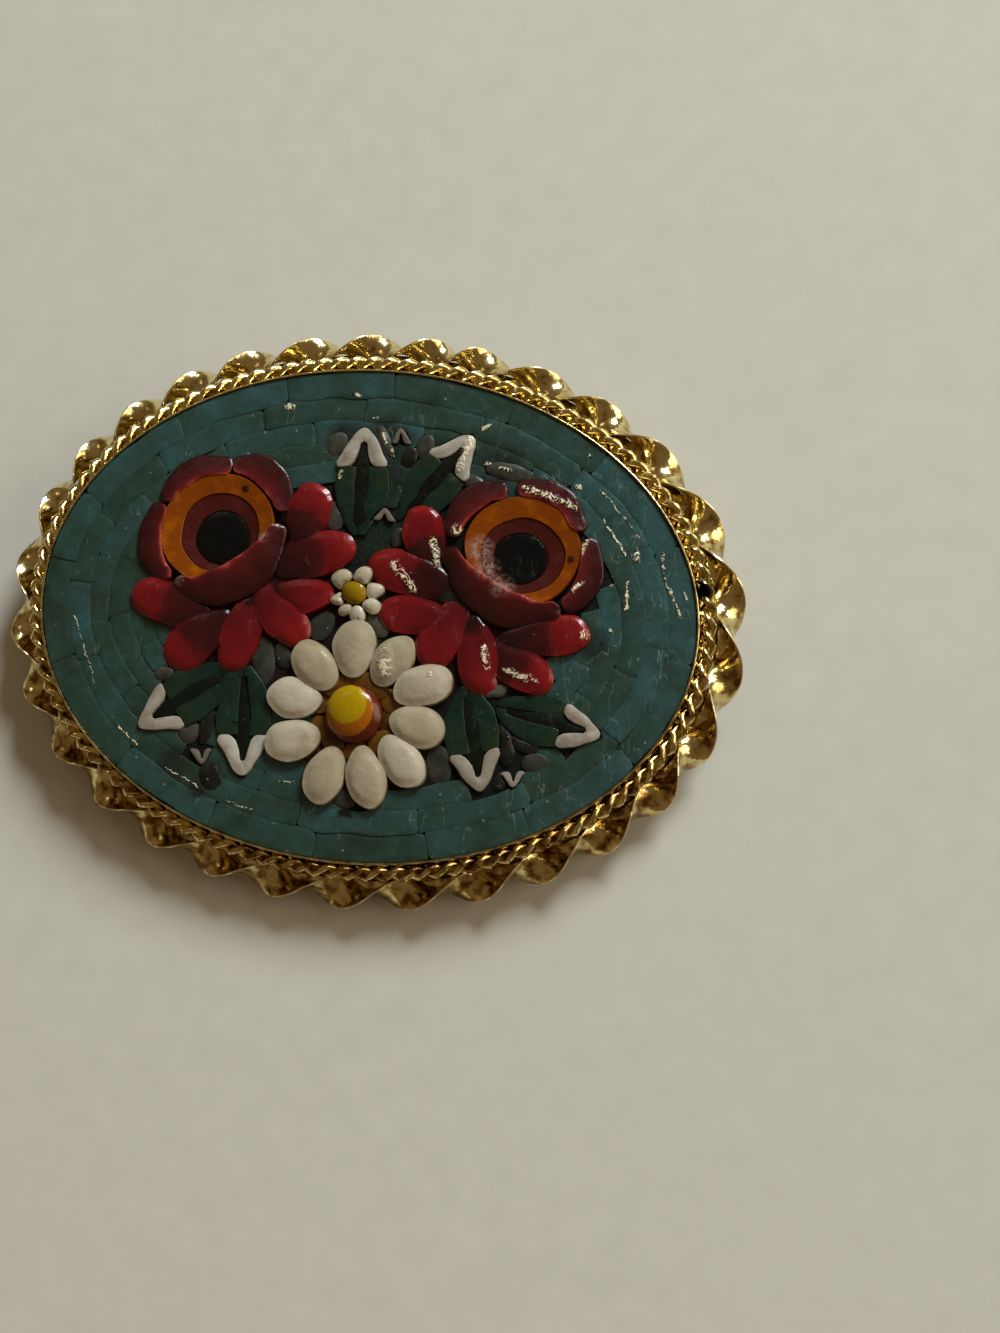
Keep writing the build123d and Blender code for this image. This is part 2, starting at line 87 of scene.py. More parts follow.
bpy.ops.object.camera_add()
camera = bpy.context.object
camera.name = "camera"
camera.data.sensor_width = sensor_height
camera.data.lens = focal_length / photo_height * sensor_height
camera.data.clip_start = nearest_seen
aim = Matrix.Rotation(tilt, 3, "X") @ Matrix((camera_right, camera_up, camera_back)).transposed()
camera.matrix_world = Matrix.Translation(to_row @ camera_place) @ aim.to_4x4()
bpy.context.scene.camera = camera
print("lens", round(camera.data.lens, 2), "mm")

# %% [markdown]
# ## Colours and nodes
# A colour is written as a screen shows it and turned to the linear numbers that light adds up in.
# One function adds a node with its settings and its links, and every material starts from the
# same two things: its shader, and the bench's millimetres to draw its pattern in.

# %% Helpers for materials
def colour(code):
    """A screen colour such as #c08a3e as the linear numbers that a shader takes."""
    parts = [int(code[k:k + 2], 16) / 255 for k in (1, 3, 5)]
    return [p / 12.92 if p <= 0.04045 else ((p + 0.055) / 1.055) ** 2.4 for p in parts] + [1]


def node(tree, kind, inputs=None, **settings):
    """Add a node, set it up, and give each named input its value or its link."""
    made = tree.nodes.new("ShaderNode" + kind)
    for name, value in settings.items():
        setattr(made, name, value)
    for name, value in (inputs or {}).items():
        if isinstance(value, bpy.types.NodeSocket):
            tree.links.new(value, made.inputs[name])
        else:
            made.inputs[name].default_value = value
    return made


def mix(tree, share, one, two):
    """One colour where the share is 0 and another where it is 1."""
    made = node(tree, "Mix", {"Factor": share, 6: one, 7: two}, data_type="RGBA")
    return made.outputs[2]


def new_material(name, shader_values):
    """A material, its shader, and the place on the bench in millimetres."""
    material = bpy.data.materials.new(name)
    material.use_nodes = True
    tree = material.node_tree
    tree.nodes.clear()
    shader = node(tree, "BsdfPrincipled", shader_values)
    node(tree, "OutputMaterial", {"Surface": shader.outputs["BSDF"]})
    where = node(tree, "TexCoord").outputs["Object"]
    inverse = to_bench.to_translation()
    bench = node(tree, "Mapping", {
        "Vector": where,
        "Location": inverse,
        "Rotation": (-tilt, 0, 0),
        "Scale": (1 / metres, 1 / metres, 1 / metres),
    })
    return material, tree, shader, bench.outputs["Vector"]


def ramp(tree, value, stops):
    """A colour ramp with stops as rows of place and screen colour."""
    made = node(tree, "ValToRGB", {"Fac": value})
    band = made.color_ramp
    while len(band.elements) < len(stops):
        band.elements.new(0.5)
    for element, (place, code) in zip(band.elements, stops):
        element.position = place
        element.color = colour(code)
    return made.outputs["Color"]


# %% [markdown]
# ## Gilt brass
# The metal is brass with a thin layer of gold, stamped, soldered and then handled for years. It is
# a pale yellow mirror with small waves in it, with patches of brown film. The film is laid on more
# thickly towards the bottom of the oval and thinly at the top, which is painted shade below and
# painted light above. The edges carry a painted highlight that is paler and less shiny. One noise
# makes both the film and the roughness, so that the metal is dull where it is brown.

# %% Gilt brass
film_size = 0.6             # millimetres, the patches of brown film
wave_size = 0.45            # millimetres, the small waves left by the tools
painted_shade_reach = 15.0           # millimetres either way over which the painted shade changes
painted_shade_below = 0.03           # how much more film there is at the bottom of the oval, as painted shade
painted_shade_above = -0.10          # and how much less at the top, as painted light
solder_spot = (17.9, 2.9, -0.6)     # one dark spot of old solder on the rope
solder_middle = 0.5         # millimetres from there out to where the spot begins to fade
solder_edge = 0.8           # and to where it has ended
rim_highlight_tint = "#f2e0b0"     # painted highlight along the edges of the metal
rim_dulling = 0.15       # and how much rougher it is there


def make_gilt(name, roughness, film, waves):
    """Gilt brass: its roughness, the colour of its film, and the height of its waves in metres."""
    material, tree, shader, bench = new_material(name, {"Metallic": 1.0})
    patches = node(tree, "TexNoise", {"Vector": bench, "Scale": 1 / film_size, "Detail": 4.0})
    wave = node(tree, "TexNoise", {"Vector": bench, "Scale": 1 / wave_size, "Detail": 2.0})
    # painted shade: the brown film is laid on more thickly towards the bottom of the oval and thinly at
    # the top
    across = node(tree, "VectorMath", {0: bench, 1: (-0.1, 1.0, 0)}, operation="DOT_PRODUCT")
    painted_shade_by_height = node(tree, "MapRange", {
        "Value": across.outputs["Value"], "From Min": -painted_shade_reach, "From Max": painted_shade_reach,
        "To Min": painted_shade_below, "To Max": painted_shade_above,
    })
    film_and_painted_shade = node(tree, "Math", {0: patches.outputs["Fac"], 1: painted_shade_by_height.outputs["Result"]},
                  operation="ADD")
    gold = ramp(tree, film_and_painted_shade.outputs["Value"], [(0.34, "#ecdca2"), (0.48, "#d2bb7a"), (0.64, film)])
    # painted highlight: the edges of the strip and the bezel are paler and rougher
    painted_rim_highlight = node(tree, "Attribute", attribute_name="edge")
    gold = mix(tree, painted_rim_highlight.outputs["Fac"], gold, colour(rim_highlight_tint))
    spot = node(tree, "VectorMath", {0: bench, 1: solder_spot}, operation="DISTANCE")
    dark = node(tree, "MapRange", {
        "Value": spot.outputs["Value"], "From Min": solder_middle, "From Max": solder_edge,
    })
    mixed = mix(tree, dark.outputs["Result"], colour("#1d1a17"), gold)
    tree.links.new(mixed, shader.inputs["Base Color"])
    rough = node(tree, "MapRange", {
        "Value": patches.outputs["Fac"], "From Min": 0.3, "From Max": 0.75,
        "To Min": roughness * 0.7, "To Max": roughness * 1.8,
    })
    duller = node(tree, "Math", {
        0: painted_rim_highlight.outputs["Fac"], 1: rim_dulling, 2: rough.outputs["Result"],
    }, operation="MULTIPLY_ADD")
    tree.links.new(duller.outputs["Value"], shader.inputs["Roughness"])
    bump = node(tree, "Bump", {"Height": wave.outputs["Fac"], "Strength": 1.0, "Distance": waves})
    tree.links.new(bump.outputs["Normal"], shader.inputs["Normal"])
    return material


gilt = make_gilt("polished_gilt_brass", 0.15, "#7b5628", 0.00004)
gilt_back = make_gilt("gilt_brass_of_the_back", 0.26, "#86704a", 0.00001)
print("metals:", gilt.name, gilt_back.name)

# %% [markdown]
# ## Opaque glass
# Each stone is cut from a rod of opaque glass. Its face is satin, with fine scratches, drawn
# densest on the right where they are painted glare, and small pale specks that are painted glints.
# Both are too shallow to model. A scratch is drawn where a stretched noise passes its middle value,
# which gives long thin broken lines, and a speck at some of the points of a cell pattern.

# %% Scratches and chips
speck_spacing = 0.8          # millimetres between the places that may have a painted glint
speck_size = 0.045
speck_choice = 0.72          # a place that draws more than this has one
scratch_turn = 0.9          # radians
scratch_stretch = (0.9, 0.28, 1)
scratch_width = 0.011


def scratches(tree, bench):
    """Where long thin scratches run: 1 on a scratch, with more of them on the right side as painted
    glare.
    """
    drawn = node(tree, "Mapping", {
        "Vector": bench, "Rotation": (0, 0, scratch_turn), "Scale": scratch_stretch,
    })
    field = node(tree, "TexNoise", {"Vector": drawn.outputs["Vector"], "Scale": 1.3, "Detail": 3.0})
    off = node(tree, "Math", {0: field.outputs["Fac"], 1: 0.5}, operation="SUBTRACT")
    size = node(tree, "Math", {0: off.outputs["Value"]}, operation="ABSOLUTE")
    line = node(tree, "MapRange", {
        "Value": size.outputs["Value"], "From Max": scratch_width, "To Min": 1.0, "To Max": 0.0,
    })
    gate = node(tree, "TexNoise", {"Vector": bench, "Scale": 0.8, "Detail": 4.0})
    # more scratches towards the right: painted glare
    side = node(tree, "SeparateXYZ", {"Vector": bench})
    wear_and_painted_glints = node(tree, "MapRange", {
        "Value": side.outputs["X"], "From Min": -6.0, "From Max": 14.0, "To Min": 0.60, "To Max": 0.42,
    })
    broken = node(tree, "MapRange", {
        "Value": gate.outputs["Fac"], "From Min": wear_and_painted_glints.outputs["Result"], "From Max": 0.72,
    })
    both = node(tree, "Math", {0: line.outputs["Result"], 1: broken.outputs["Result"]},
                operation="MULTIPLY")
    return both.outputs["Value"]


def painted_glint_specks(tree, bench):
    """Where pale specks are painted as glints: 1 on a speck."""
    cells = node(tree, "TexVoronoi", {"Vector": bench, "Scale": 1 / speck_spacing})
    near = node(tree, "MapRange", {
        "Value": cells.outputs["Distance"], "From Min": speck_size / speck_spacing,
        "From Max": speck_size / speck_spacing * 1.5, "To Min": 1.0, "To Max": 0.0,
    })
    draw = node(tree, "SeparateColor", {"Color": cells.outputs["Color"]})
    chosen = node(tree, "Math", {0: draw.outputs["Red"], 1: speck_choice}, operation="GREATER_THAN")
    both = node(tree, "Math", {0: near.outputs["Result"], 1: chosen.outputs["Value"]},
                operation="MULTIPLY")
    return both.outputs["Value"]


# %% [markdown]
# Lacquer has dried over the stones in thin crinkled runs, and the crests of its folds carry
# painted glints. Pale dust lies in some hollows, and cement is smeared over parts of the ground.
# None of it has a height that shows, so it is drawn by colour, gloss and bump. Noise alone would
# scatter it, so each run and each patch is a row in a table, with a place on the bench, and noise
# only makes the edges of the runs waver.

# %% Dried lacquer, dust and smeared cement
flower_lacquer_and_glints = [
    # x, y of both ends, and half width, of the runs of lacquer with painted glints on flowers and leaves
    (1.74, -2.07, 1.85, -2.99, 0.50), (1.61, 2.75, 2.71, 1.52, 0.34), (3.49, 4.16, 3.95, 2.95, 0.26),
    (4.74, 4.89, 4.84, 4.89, 0.42), (6.97, -1.27, 7.25, -2.32, 0.22), (8.19, -2.38, 9.77, -2.76, 0.26),
    (12.08, -0.10, 12.18, -0.10, 0.28), (8.12, 7.43, 9.24, 7.13, 0.24), (9.24, 7.13, 10.85, 6.64, 0.24),
    (11.67, 4.85, 11.52, 4.14, 0.16), (11.76, 2.70, 11.35, 2.21, 0.20), (4.85, 9.92, 4.45, 8.23, 0.28),
    (0.56, 4.07, 0.66, 4.27, 0.18), (1.03, 4.82, 1.05, 4.92, 0.14), (-2.02, 7.52, -2.10, 7.22, 0.16),
    (0.08, 9.78, 0.20, 9.30, 0.14), (0.61, 8.88, 0.80, 8.70, 0.16), (4.20, -2.92, 4.25, -2.92, 0.14),
    (2.20, 2.05, 2.80, 2.30, 0.16), (7.20, 8.30, 6.60, 8.46, 0.12),
]
ground_lacquer_and_glints = [
    # the same on the ground
    (12.10, 7.71, 14.44, 5.35, 0.05), (12.43, 6.18, 13.87, 4.30, 0.07), (15.74, 4.61, 15.96, 3.25, 0.08),
    (15.96, 3.25, 17.08, 1.29, 0.09), (10.86, 7.76, 10.96, 7.76, 0.24), (14.38, 4.50, 14.40, 4.20, 0.24),
    (13.47, 0.35, 13.50, 0.25, 0.14), (14.09, 2.93, 14.19, 1.41, 0.10), (11.28, 9.51, 11.33, 9.51, 0.12),
    (17.09, 2.59, 17.20, 2.30, 0.10), (13.09, 3.00, 13.20, 2.80, 0.20), (5.78, 8.66, 7.23, 8.30, 0.14),
    (5.71, 10.72, 5.40, 10.50, 0.14), (-0.56, 10.67, -0.50, 10.67, 0.12),
    (-5.53, 10.91, -5.20, 10.91, 0.18), (-1.94, 11.86, -1.50, 11.86, 0.10),
    (-12.78, -7.27, -11.41, -8.30, 0.06), (-9.71, -9.29, -7.69, -10.15, 0.05),
    (-6.07, -10.71, -4.49, -11.03, 0.04), (-3.35, -9.36, -2.17, -9.32, 0.05),
    (-16.0, -1.60, -14.3, -5.10, 0.04),
]
dust_places = [
    # x, y, radius of the patches of pale dust that lies in the hollows
    (6.10, 4.00, 0.85), (6.60, 3.00, 0.80), (7.50, 2.10, 0.75), (-10.20, 0.90, 0.45),
    (-5.80, 3.60, 0.40),
]
shaded_places = [
    # x, y, radius of the places where the ground is darkened by cement smeared over it
    (0.60, 7.30, 2.20), (0.50, 5.30, 1.70), (0.40, 9.20, 1.90), (-2.00, 9.60, 1.30), (6.60, 8.60, 1.90),
    (-9.24, -8.91, 1.20), (-7.68, -10.2, 0.80), (-4.40, 5.40, 1.20), (12.6, -0.6, 1.20), (3.2, 8.9, 1.2),
]
waver = 0.45                # how far the edge of a run wanders


def fading(tree, distance, radius):
    """1 near a middle, and 0 past the radius."""
    made = node(tree, "MapRange", {
        "Value": distance, "From Min": radius * 0.4, "From Max": radius, "To Min": 1.0, "To Max": 0.0,
    })
    return made.outputs["Result"]


def larger(tree, one, two):
    """The larger of two values."""
    made = node(tree, "Math", {0: one, 1: two}, operation="MAXIMUM")
    return made.outputs["Value"]


def in_places(tree, bench, places):
    """How near a point is to the middle of one of some round places: 1 in a middle."""
    flat = node(tree, "VectorMath", {0: bench, 1: (1, 1, 0)}, operation="MULTIPLY")
    total = 0.0
    for x, y, radius in places:
        away = node(tree, "VectorMath", {0: flat.outputs["Vector"], 1: (x, y, 0)}, operation="DISTANCE")
        total = larger(tree, total, fading(tree, away.outputs["Value"], radius))
    return total


def in_runs(tree, bench, runs):
    """How near a point is to the middle of one of some straight runs, whose edges waver."""
    warp = node(tree, "TexNoise", {"Vector": bench, "Scale": 2.5, "Detail": 3.0})
    warp = node(tree, "VectorMath", {0: warp.outputs["Color"], 1: (0.5, 0.5, 0.5)}, operation="SUBTRACT")
    moved = node(tree, "VectorMath", {0: warp.outputs["Vector"], 1: (waver, waver, 0), 2: bench},
                 operation="MULTIPLY_ADD")
    flat = node(tree, "VectorMath", {0: moved.outputs["Vector"], 1: (1, 1, 0)}, operation="MULTIPLY")
    total = 0.0
    for x0, y0, x1, y1, half in runs:
        along = Vector((x1 - x0, y1 - y0, 0))
        off = node(tree, "VectorMath", {0: flat.outputs["Vector"], 1: (x0, y0, 0)}, operation="SUBTRACT")
        share = node(tree, "VectorMath", {0: off.outputs["Vector"], 1: along / along.length_squared},
                     operation="DOT_PRODUCT")
        share = node(tree, "Clamp", {"Value": share.outputs["Value"]})
        foot = node(tree, "VectorMath", {0: along, "Scale": share.outputs["Result"]}, operation="SCALE")
        away = node(tree, "VectorMath", {0: off.outputs["Vector"], 1: foot.outputs["Vector"]},
                    operation="DISTANCE")
        total = larger(tree, total, fading(tree, away.outputs["Value"], half))
    return total


# %% [markdown]
# Every glass gets the same finish over its colour: scratches and painted glints first, then dust,
# and the lacquer last. The lacquer shines, and the crests of its crinkles are pale as painted
# glints. The bare glass is polished unevenly, so a noise makes its gloss.

# %% The finish of the glass
crinkle_size = 0.42         # millimetres
painted_glint_tint = "#fbf0cc"      # painted glints on the crests of the lacquer's folds
glint_start = 0.015         # a painted glint is full this near to a fold's middle
glint_width = 0.025         # and has ended here where the lacquer is thin
glint_spread = 0.07         # plus this much where it is thick
lacquer_roughness = 0.06
fold_height = 0.0001        # metres
grain_height = 0.00006      # metres
dust_tint = "#a88a80"


def finish_glass(tree, shader, bench, base, gloss, wear_and_glint_tint, marks, runs=flower_lacquer_and_glints):
    """Lay scratches and painted glints over a colour, and give the glass its uneven polish and lacquer.
    """
    scratch = node(tree, "Math", {0: scratches(tree, bench), 1: marks}, operation="MULTIPLY")
    glint_speck = node(tree, "Math", {0: painted_glint_specks(tree, bench), 1: marks}, operation="MULTIPLY")
    wear_and_painted_glints = node(tree, "Math", {0: scratch.outputs["Value"], 1: glint_speck.outputs["Value"]},
                operation="MAXIMUM")
    thick = in_runs(tree, bench, runs)
    crinkle = node(tree, "TexNoise", {
        "Vector": bench, "Scale": 1 / crinkle_size, "Detail": 2.0, "Distortion": 1.2,
    })
    fold = node(tree, "Math", {0: crinkle.outputs["Fac"], 1: 0.5}, operation="SUBTRACT")
    fold = node(tree, "Math", {0: fold.outputs["Value"]}, operation="ABSOLUTE")
    # painted glints: the crests of the lacquer's folds are pale
    cover = node(tree, "Math", {0: thick, 1: glint_spread, 2: glint_width},
                 operation="MULTIPLY_ADD")
    painted_glint = node(tree, "MapRange", {
        "Value": fold.outputs["Value"], "From Min": glint_start, "From Max": cover.outputs["Value"],
        "To Min": thick, "To Max": 0.0,
    })
    mixed = mix(tree, wear_and_painted_glints.outputs["Value"], base, colour(wear_and_glint_tint))
    dusty = node(tree, "TexNoise", {"Vector": bench, "Scale": 3.5, "Detail": 8.0, "Roughness": 0.75})
    dusty = node(tree, "MapRange", {
        "Value": dusty.outputs["Fac"], "From Min": 0.42, "From Max": 0.62,
        "To Max": in_places(tree, bench, dust_places),
    })
    mixed = mix(tree, dusty.outputs["Result"], mixed, colour(dust_tint))
    mixed = mix(tree, painted_glint.outputs["Result"], mixed, colour(painted_glint_tint))
    tree.links.new(mixed, shader.inputs["Base Color"])
    polish = node(tree, "TexNoise", {"Vector": bench, "Scale": 1.6, "Detail": 6.0, "Roughness": 0.7})
    rough = node(tree, "MapRange", {
        "Value": polish.outputs["Fac"], "From Min": 0.35, "From Max": 0.68,
        "To Min": gloss * 0.6, "To Max": gloss * 1.6,
    })
    shiny = node(tree, "MapRange", {
        "Value": thick, "To Min": rough.outputs["Result"], "To Max": lacquer_roughness,
    })
    tree.links.new(shiny.outputs["Result"], shader.inputs["Roughness"])
    grain = node(tree, "TexNoise", {"Vector": bench, "Scale": 2.6, "Detail": 5.0, "Roughness": 0.6})
    bump = node(tree, "Bump", {
        "Height": grain.outputs["Fac"], "Strength": 0.5, "Distance": grain_height,
    })
    folds = node(tree, "Math", {0: crinkle.outputs["Fac"], 1: thick}, operation="MULTIPLY")
    folded = node(tree, "Bump", {
        "Height": folds.outputs["Value"], "Strength": 1.0, "Distance": fold_height,
        "Normal": bump.outputs["Normal"],
    })
    tree.links.new(folded.outputs["Normal"], shader.inputs["Normal"])


# %% [markdown]
# A rod of glass is never one even colour. Every stone could be painted, but its mesh already
# holds a number: its own tone, or how far along a petal or a leaf each point lies. Soft clouds
# are added to that number, and the sum picks a colour along a ramp.

# %% The glasses of the mosaic
shade_tint = "#17221b"      # the ground under smeared cement
shade_strength = 0.85


def cloudy(tree, bench, value, spread, size=0.9):
    """A value with soft clouds added to it."""
    cloud = node(tree, "TexNoise", {"Vector": bench, "Scale": 1 / size, "Detail": 5.0})
    part = node(tree, "MapRange", {
        "Value": cloud.outputs["Fac"], "From Min": 0.3, "From Max": 0.7,
        "To Min": -spread, "To Max": spread,
    })
    total = node(tree, "Math", {0: value, 1: part.outputs["Result"]}, operation="ADD")
    return total.outputs["Value"]


def make_glass(name, tones, gloss=0.32, marks=0.5, wear_and_glint_tint="#8d9a92", spread=0.35, by="tone", size=0.9,
               mirror=0.4, runs=flower_lacquer_and_glints, shaded=()):
    """Opaque glass whose colour is picked along its tones by one of the stone's attributes."""
    material, tree, shader, bench = new_material(name, {"IOR": 1.5, "Specular IOR Level": mirror})
    picked = node(tree, "Attribute", attribute_name=by)
    base = ramp(tree, cloudy(tree, bench, picked.outputs["Fac"], spread, size), tones)
    if shaded:
        dark = node(tree, "Math", {0: in_places(tree, bench, shaded), 1: shade_strength},
                    operation="MULTIPLY")
        base = mix(tree, dark.outputs["Value"], base, colour(shade_tint))
    finish_glass(tree, shader, bench, base, gloss, wear_and_glint_tint, marks, runs)
    return material


teal = make_glass("teal_glass_satin", [(0.0, "#24382e"), (0.35, "#2a433a"), (0.65, "#2d4a48"),
                                       (1.0, "#325658")], gloss=0.36, marks=0.75, spread=0.35,
                  size=1.8, runs=ground_lacquer_and_glints, shaded=shaded_places)
grey = make_glass("grey_glass_satin", [(0.1, "#2e302b"), (0.5, "#3d3f38"), (0.9, "#4e4f48")])
slate = make_glass("slate_glass_satin", [(0.1, "#101310"), (0.5, "#161a19"), (0.9, "#1f2422")])
green = make_glass("green_glass_satin", [(0.0, "#0b241e"), (0.45, "#102b21"), (0.72, "#1f301b"),
                                         (1.0, "#2f3719")], marks=0.2, spread=0.2, by="reach")
rib = make_glass("black_green_glass", [(0.1, "#050b08"), (0.9, "#0b160e")], marks=0.15,
                 mirror=0.3)
tip_white = make_glass("white_glass_ground", [(0.1, "#968d80"), (0.5, "#a69f94"), (0.9, "#b5b0a6")],
                       marks=0.4, wear_and_glint_tint="#8a7355", gloss=0.34, spread=0.55)
tip_tan = make_glass("tan_glass_ground", [(0.1, "#6e675c"), (0.9, "#918a83")], marks=0.3,
                     wear_and_glint_tint="#50402f")
black = make_glass("black_glass_satin", [(0.1, "#0a0b0d"), (0.9, "#101114")], marks=0.12, gloss=0.22,
                   mirror=0.25)
maroon = make_glass("maroon_glass_satin", [(0.1, "#48120f"), (0.9, "#62181a")], marks=0.15,
                    wear_and_glint_tint="#6b4840")
amber = make_glass("amber_glass_glossy", [(0.1, "#472a0c"), (0.5, "#5c3a10"), (0.9, "#70491a")],
                   gloss=0.15, marks=0.2, wear_and_glint_tint="#8c6c3c", mirror=0.25)
lip_red = make_glass("rose_red_glass", [(0.0, "#2e0b0d"), (0.55, "#431014"), (0.84, "#581519"),
                                        (0.95, "#7c2426"), (1.0, "#9a443e")],
                     gloss=0.26, marks=0.1, wear_and_glint_tint="#9a6f66", spread=0.10, by="inward")
flower_yellow = make_glass("yellow_glass_glossy", [(0.1, "#82640a"), (0.9, "#9c7c0a")], gloss=0.12,
                           marks=0.1, wear_and_glint_tint="#7a5c10")
print(len(bpy.data.materials), "materials so far")

# %% [markdown]
# Orange glass has small brown flaws, two of them large enough to see. Noise could scatter them,
# but the eye knows these two by their places, so each is a ragged spot laid over the glass.

# %% Orange glass
flaw_places = [(-7.2, 6.15, 0), (11.0, 3.8, 0)]
flaw_size = 0.22


def blend_spot(tree, bench, place, size, inside, outside, edge=0.06):
    """A round spot of one colour over another, at a place on the bench."""
    flat = node(tree, "VectorMath", {0: bench, 1: (1, 1, 0)}, operation="MULTIPLY")
    away = node(tree, "VectorMath", {0: flat.outputs["Vector"], 1: place}, operation="DISTANCE")
    ragged = cloudy(tree, bench, away.outputs["Value"], edge, size=0.3)
    out = node(tree, "MapRange", {"Value": ragged, "From Min": size - edge, "From Max": size + edge})
    return mix(tree, out.outputs["Result"], inside, outside)


orange, tree, shader, bench = new_material("orange_glass_satin",
                                           {"IOR": 1.5, "Specular IOR Level": 0.3})
tone = node(tree, "Attribute", attribute_name="tone")
base = ramp(tree, cloudy(tree, bench, tone.outputs["Fac"], 0.35),
            [(0.1, "#843e04"), (0.5, "#a65702"), (0.9, "#c06a06")])
for place in flaw_places:
    base = blend_spot(tree, bench, place, flaw_size, colour("#3a1408"), base)
finish_glass(tree, shader, bench, base, gloss=0.26, wear_and_glint_tint="#c08a4a", marks=0.12)
print(orange.name, "with", len(flaw_places), "flaws")

# %% [markdown]
# The daisy's heart is a slice of a rod that was built up of three colours: yellow inside orange
# inside brown red, none of them quite in the middle. One material with two round spots draws all
# three, because on the real stone they share one polished dome.

# %% The heart's three glasses
heart_rings = [
    # x, y, radius, colour
    (0.15, -5.30, 1.36, "#a05a08"),
    (0.10, -4.96, 1.04, "#a88a04"),
]

heart_glass, tree, shader, bench = new_material("daisy_heart_glass", {"IOR": 1.5})
base = colour("#5a2008")
for x, y, radius, tint in heart_rings:
    base = blend_spot(tree, bench, (x, y, 0), radius, colour(tint), base, edge=0.03)
finish_glass(tree, shader, bench, base, gloss=0.16, wear_and_glint_tint="#d0b050", marks=0.15)
print(heart_glass.name, "with", len(heart_rings), "spots")

# %% [markdown]
# A white petal is glossy, with a fire-polished dome. Where it meets its neighbours its foot is
# stained brown by the cement. The stain goes by height on the bench, so it follows every petal's
# own foot.

# %% White petal glass
white, tree, shader, bench = new_material("white_petal_glass", {"IOR": 1.5})
tone = node(tree, "Attribute", attribute_name="tone")
face = ramp(tree, cloudy(tree, bench, tone.outputs["Fac"], 0.35),
            [(0.1, "#a69b82"), (0.5, "#b4a993"), (0.9, "#c0b7a3")])
height = node(tree, "SeparateXYZ", {"Vector": bench})
foot = cloudy(tree, bench, height.outputs["Z"], 0.10, size=0.6)
stained = node(tree, "MapRange", {"Value": foot, "From Min": -0.04, "From Max": 0.22})
base = mix(tree, stained.outputs["Result"], colour("#6a5430"), face)
finish_glass(tree, shader, bench, base, gloss=0.2, wear_and_glint_tint="#cfc5ae", marks=0.2)
print(white.name, "has", len(tree.nodes), "nodes")

# %% [markdown]
# A red petal is drawn from a rod with a maroon core, so its root is maroon and its rounded tip
# bright red. How far the maroon reaches differs from petal to petal.

# %% Red petal glass
red, tree, shader, bench = new_material("red_petal_glass", {"IOR": 1.5, "Specular IOR Level": 0.4})
reach = node(tree, "Attribute", attribute_name="reach")
core = node(tree, "Attribute", attribute_name="core")
past = node(tree, "Math", {0: reach.outputs["Fac"], 1: core.outputs["Fac"]}, operation="SUBTRACT")
edge = cloudy(tree, bench, past.outputs["Value"], 0.05, size=0.5)
body = ramp(tree, cloudy(tree, bench, reach.outputs["Fac"], 0.1),
            [(0.0, "#1e090b"), (0.4, "#380d12"), (0.7, "#4c0f14")])
tip = ramp(tree, cloudy(tree, bench, reach.outputs["Fac"], 0.12),
           [(0.3, "#570c12"), (0.7, "#701016"), (1.0, "#84181a")])
tipped = node(tree, "MapRange", {"Value": edge, "From Min": -0.03, "From Max": 0.06})
base = mix(tree, tipped.outputs["Result"], body, tip)
finish_glass(tree, shader, bench, base, gloss=0.2, wear_and_glint_tint="#c06a5a", marks=0.3)
print(red.name, "has", len(tree.nodes), "nodes")

# %% [markdown]
# ## Cement
# The stones are pressed into a dark, matt cement, which stands up between them almost to their
# tops. It is nearly black, with a green cast, wine red between the red petals and brown around
# the large daisy.

# %% Cement
stains = [
    # x, y, radius, and the stain's tones from its pits to its crests
    (0.4, -5.4, 3.9, ("#241808", "#49330f", "#6e5120")),
    (-4.6, -0.4, 4.2, ("#0d0606", "#220b0d", "#3a1416")),
    (-3.9, 3.0, 2.2, ("#0d0606", "#220b0d", "#3a1416")),
    (6.0, -0.2, 4.2, ("#0d0606", "#220b0d", "#3a1416")),
    (0.7, 4.4, 1.5, ("#0b140e", "#18271a", "#2c3a26")),
]

cement, tree, shader, bench = new_material("dark_cement",
                                           {"Roughness": 0.7, "Specular IOR Level": 0.2})
grit = node(tree, "TexNoise", {"Vector": bench, "Scale": 5.0, "Detail": 6.0, "Roughness": 0.7})
dark = ramp(tree, grit.outputs["Fac"], [(0.3, "#060807"), (0.6, "#0b100e"), (0.8, "#1c211c")])
for x, y, radius, tones in stains:
    stain = ramp(tree, grit.outputs["Fac"], list(zip((0.3, 0.55, 0.8), tones)))
    dark = blend_spot(tree, bench, (x, y, 0), radius, stain, dark, edge=0.5)
tree.links.new(dark, shader.inputs["Base Color"])
bump = node(tree, "Bump", {"Height": grit.outputs["Fac"], "Strength": 0.6, "Distance": 0.0001})
tree.links.new(bump.outputs["Normal"], shader.inputs["Normal"])
print(cement.name, "with", len(stains), "stains")

# %% [markdown]
# ## Tools for shaping
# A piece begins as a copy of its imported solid, laid flat on the bench. The solid is loose
# triangles, so its doubles are merged and its flat faces made whole first. Faces and edges are
# then picked by their place or their normal, and shaped with the tools of edit mode.

# %% Tools for shaping
def only(piece):
    """Select one piece and nothing else."""
    bpy.ops.object.select_all(action="DESELECT")
    piece.select_set(True)
    bpy.context.view_layer.objects.active = piece


def edit(piece):
    """Go into edit mode on one piece."""
    only(piece)
    bpy.ops.object.mode_set(mode="EDIT")


def done():
    """Leave edit mode."""
    bpy.ops.object.mode_set(mode="OBJECT")


def pick(piece, kind, wanted):
    """In edit mode, select the faces or the edges that a test names, and nothing else."""
    bpy.ops.mesh.select_mode(type=kind)
    bpy.ops.mesh.select_all(action="DESELECT")
    mesh = bmesh.from_edit_mesh(piece.data)
    for part in mesh.faces if kind == "FACE" else mesh.edges:
        if wanted(part):
            part.select_set(True)
    bmesh.update_edit_mesh(piece.data)


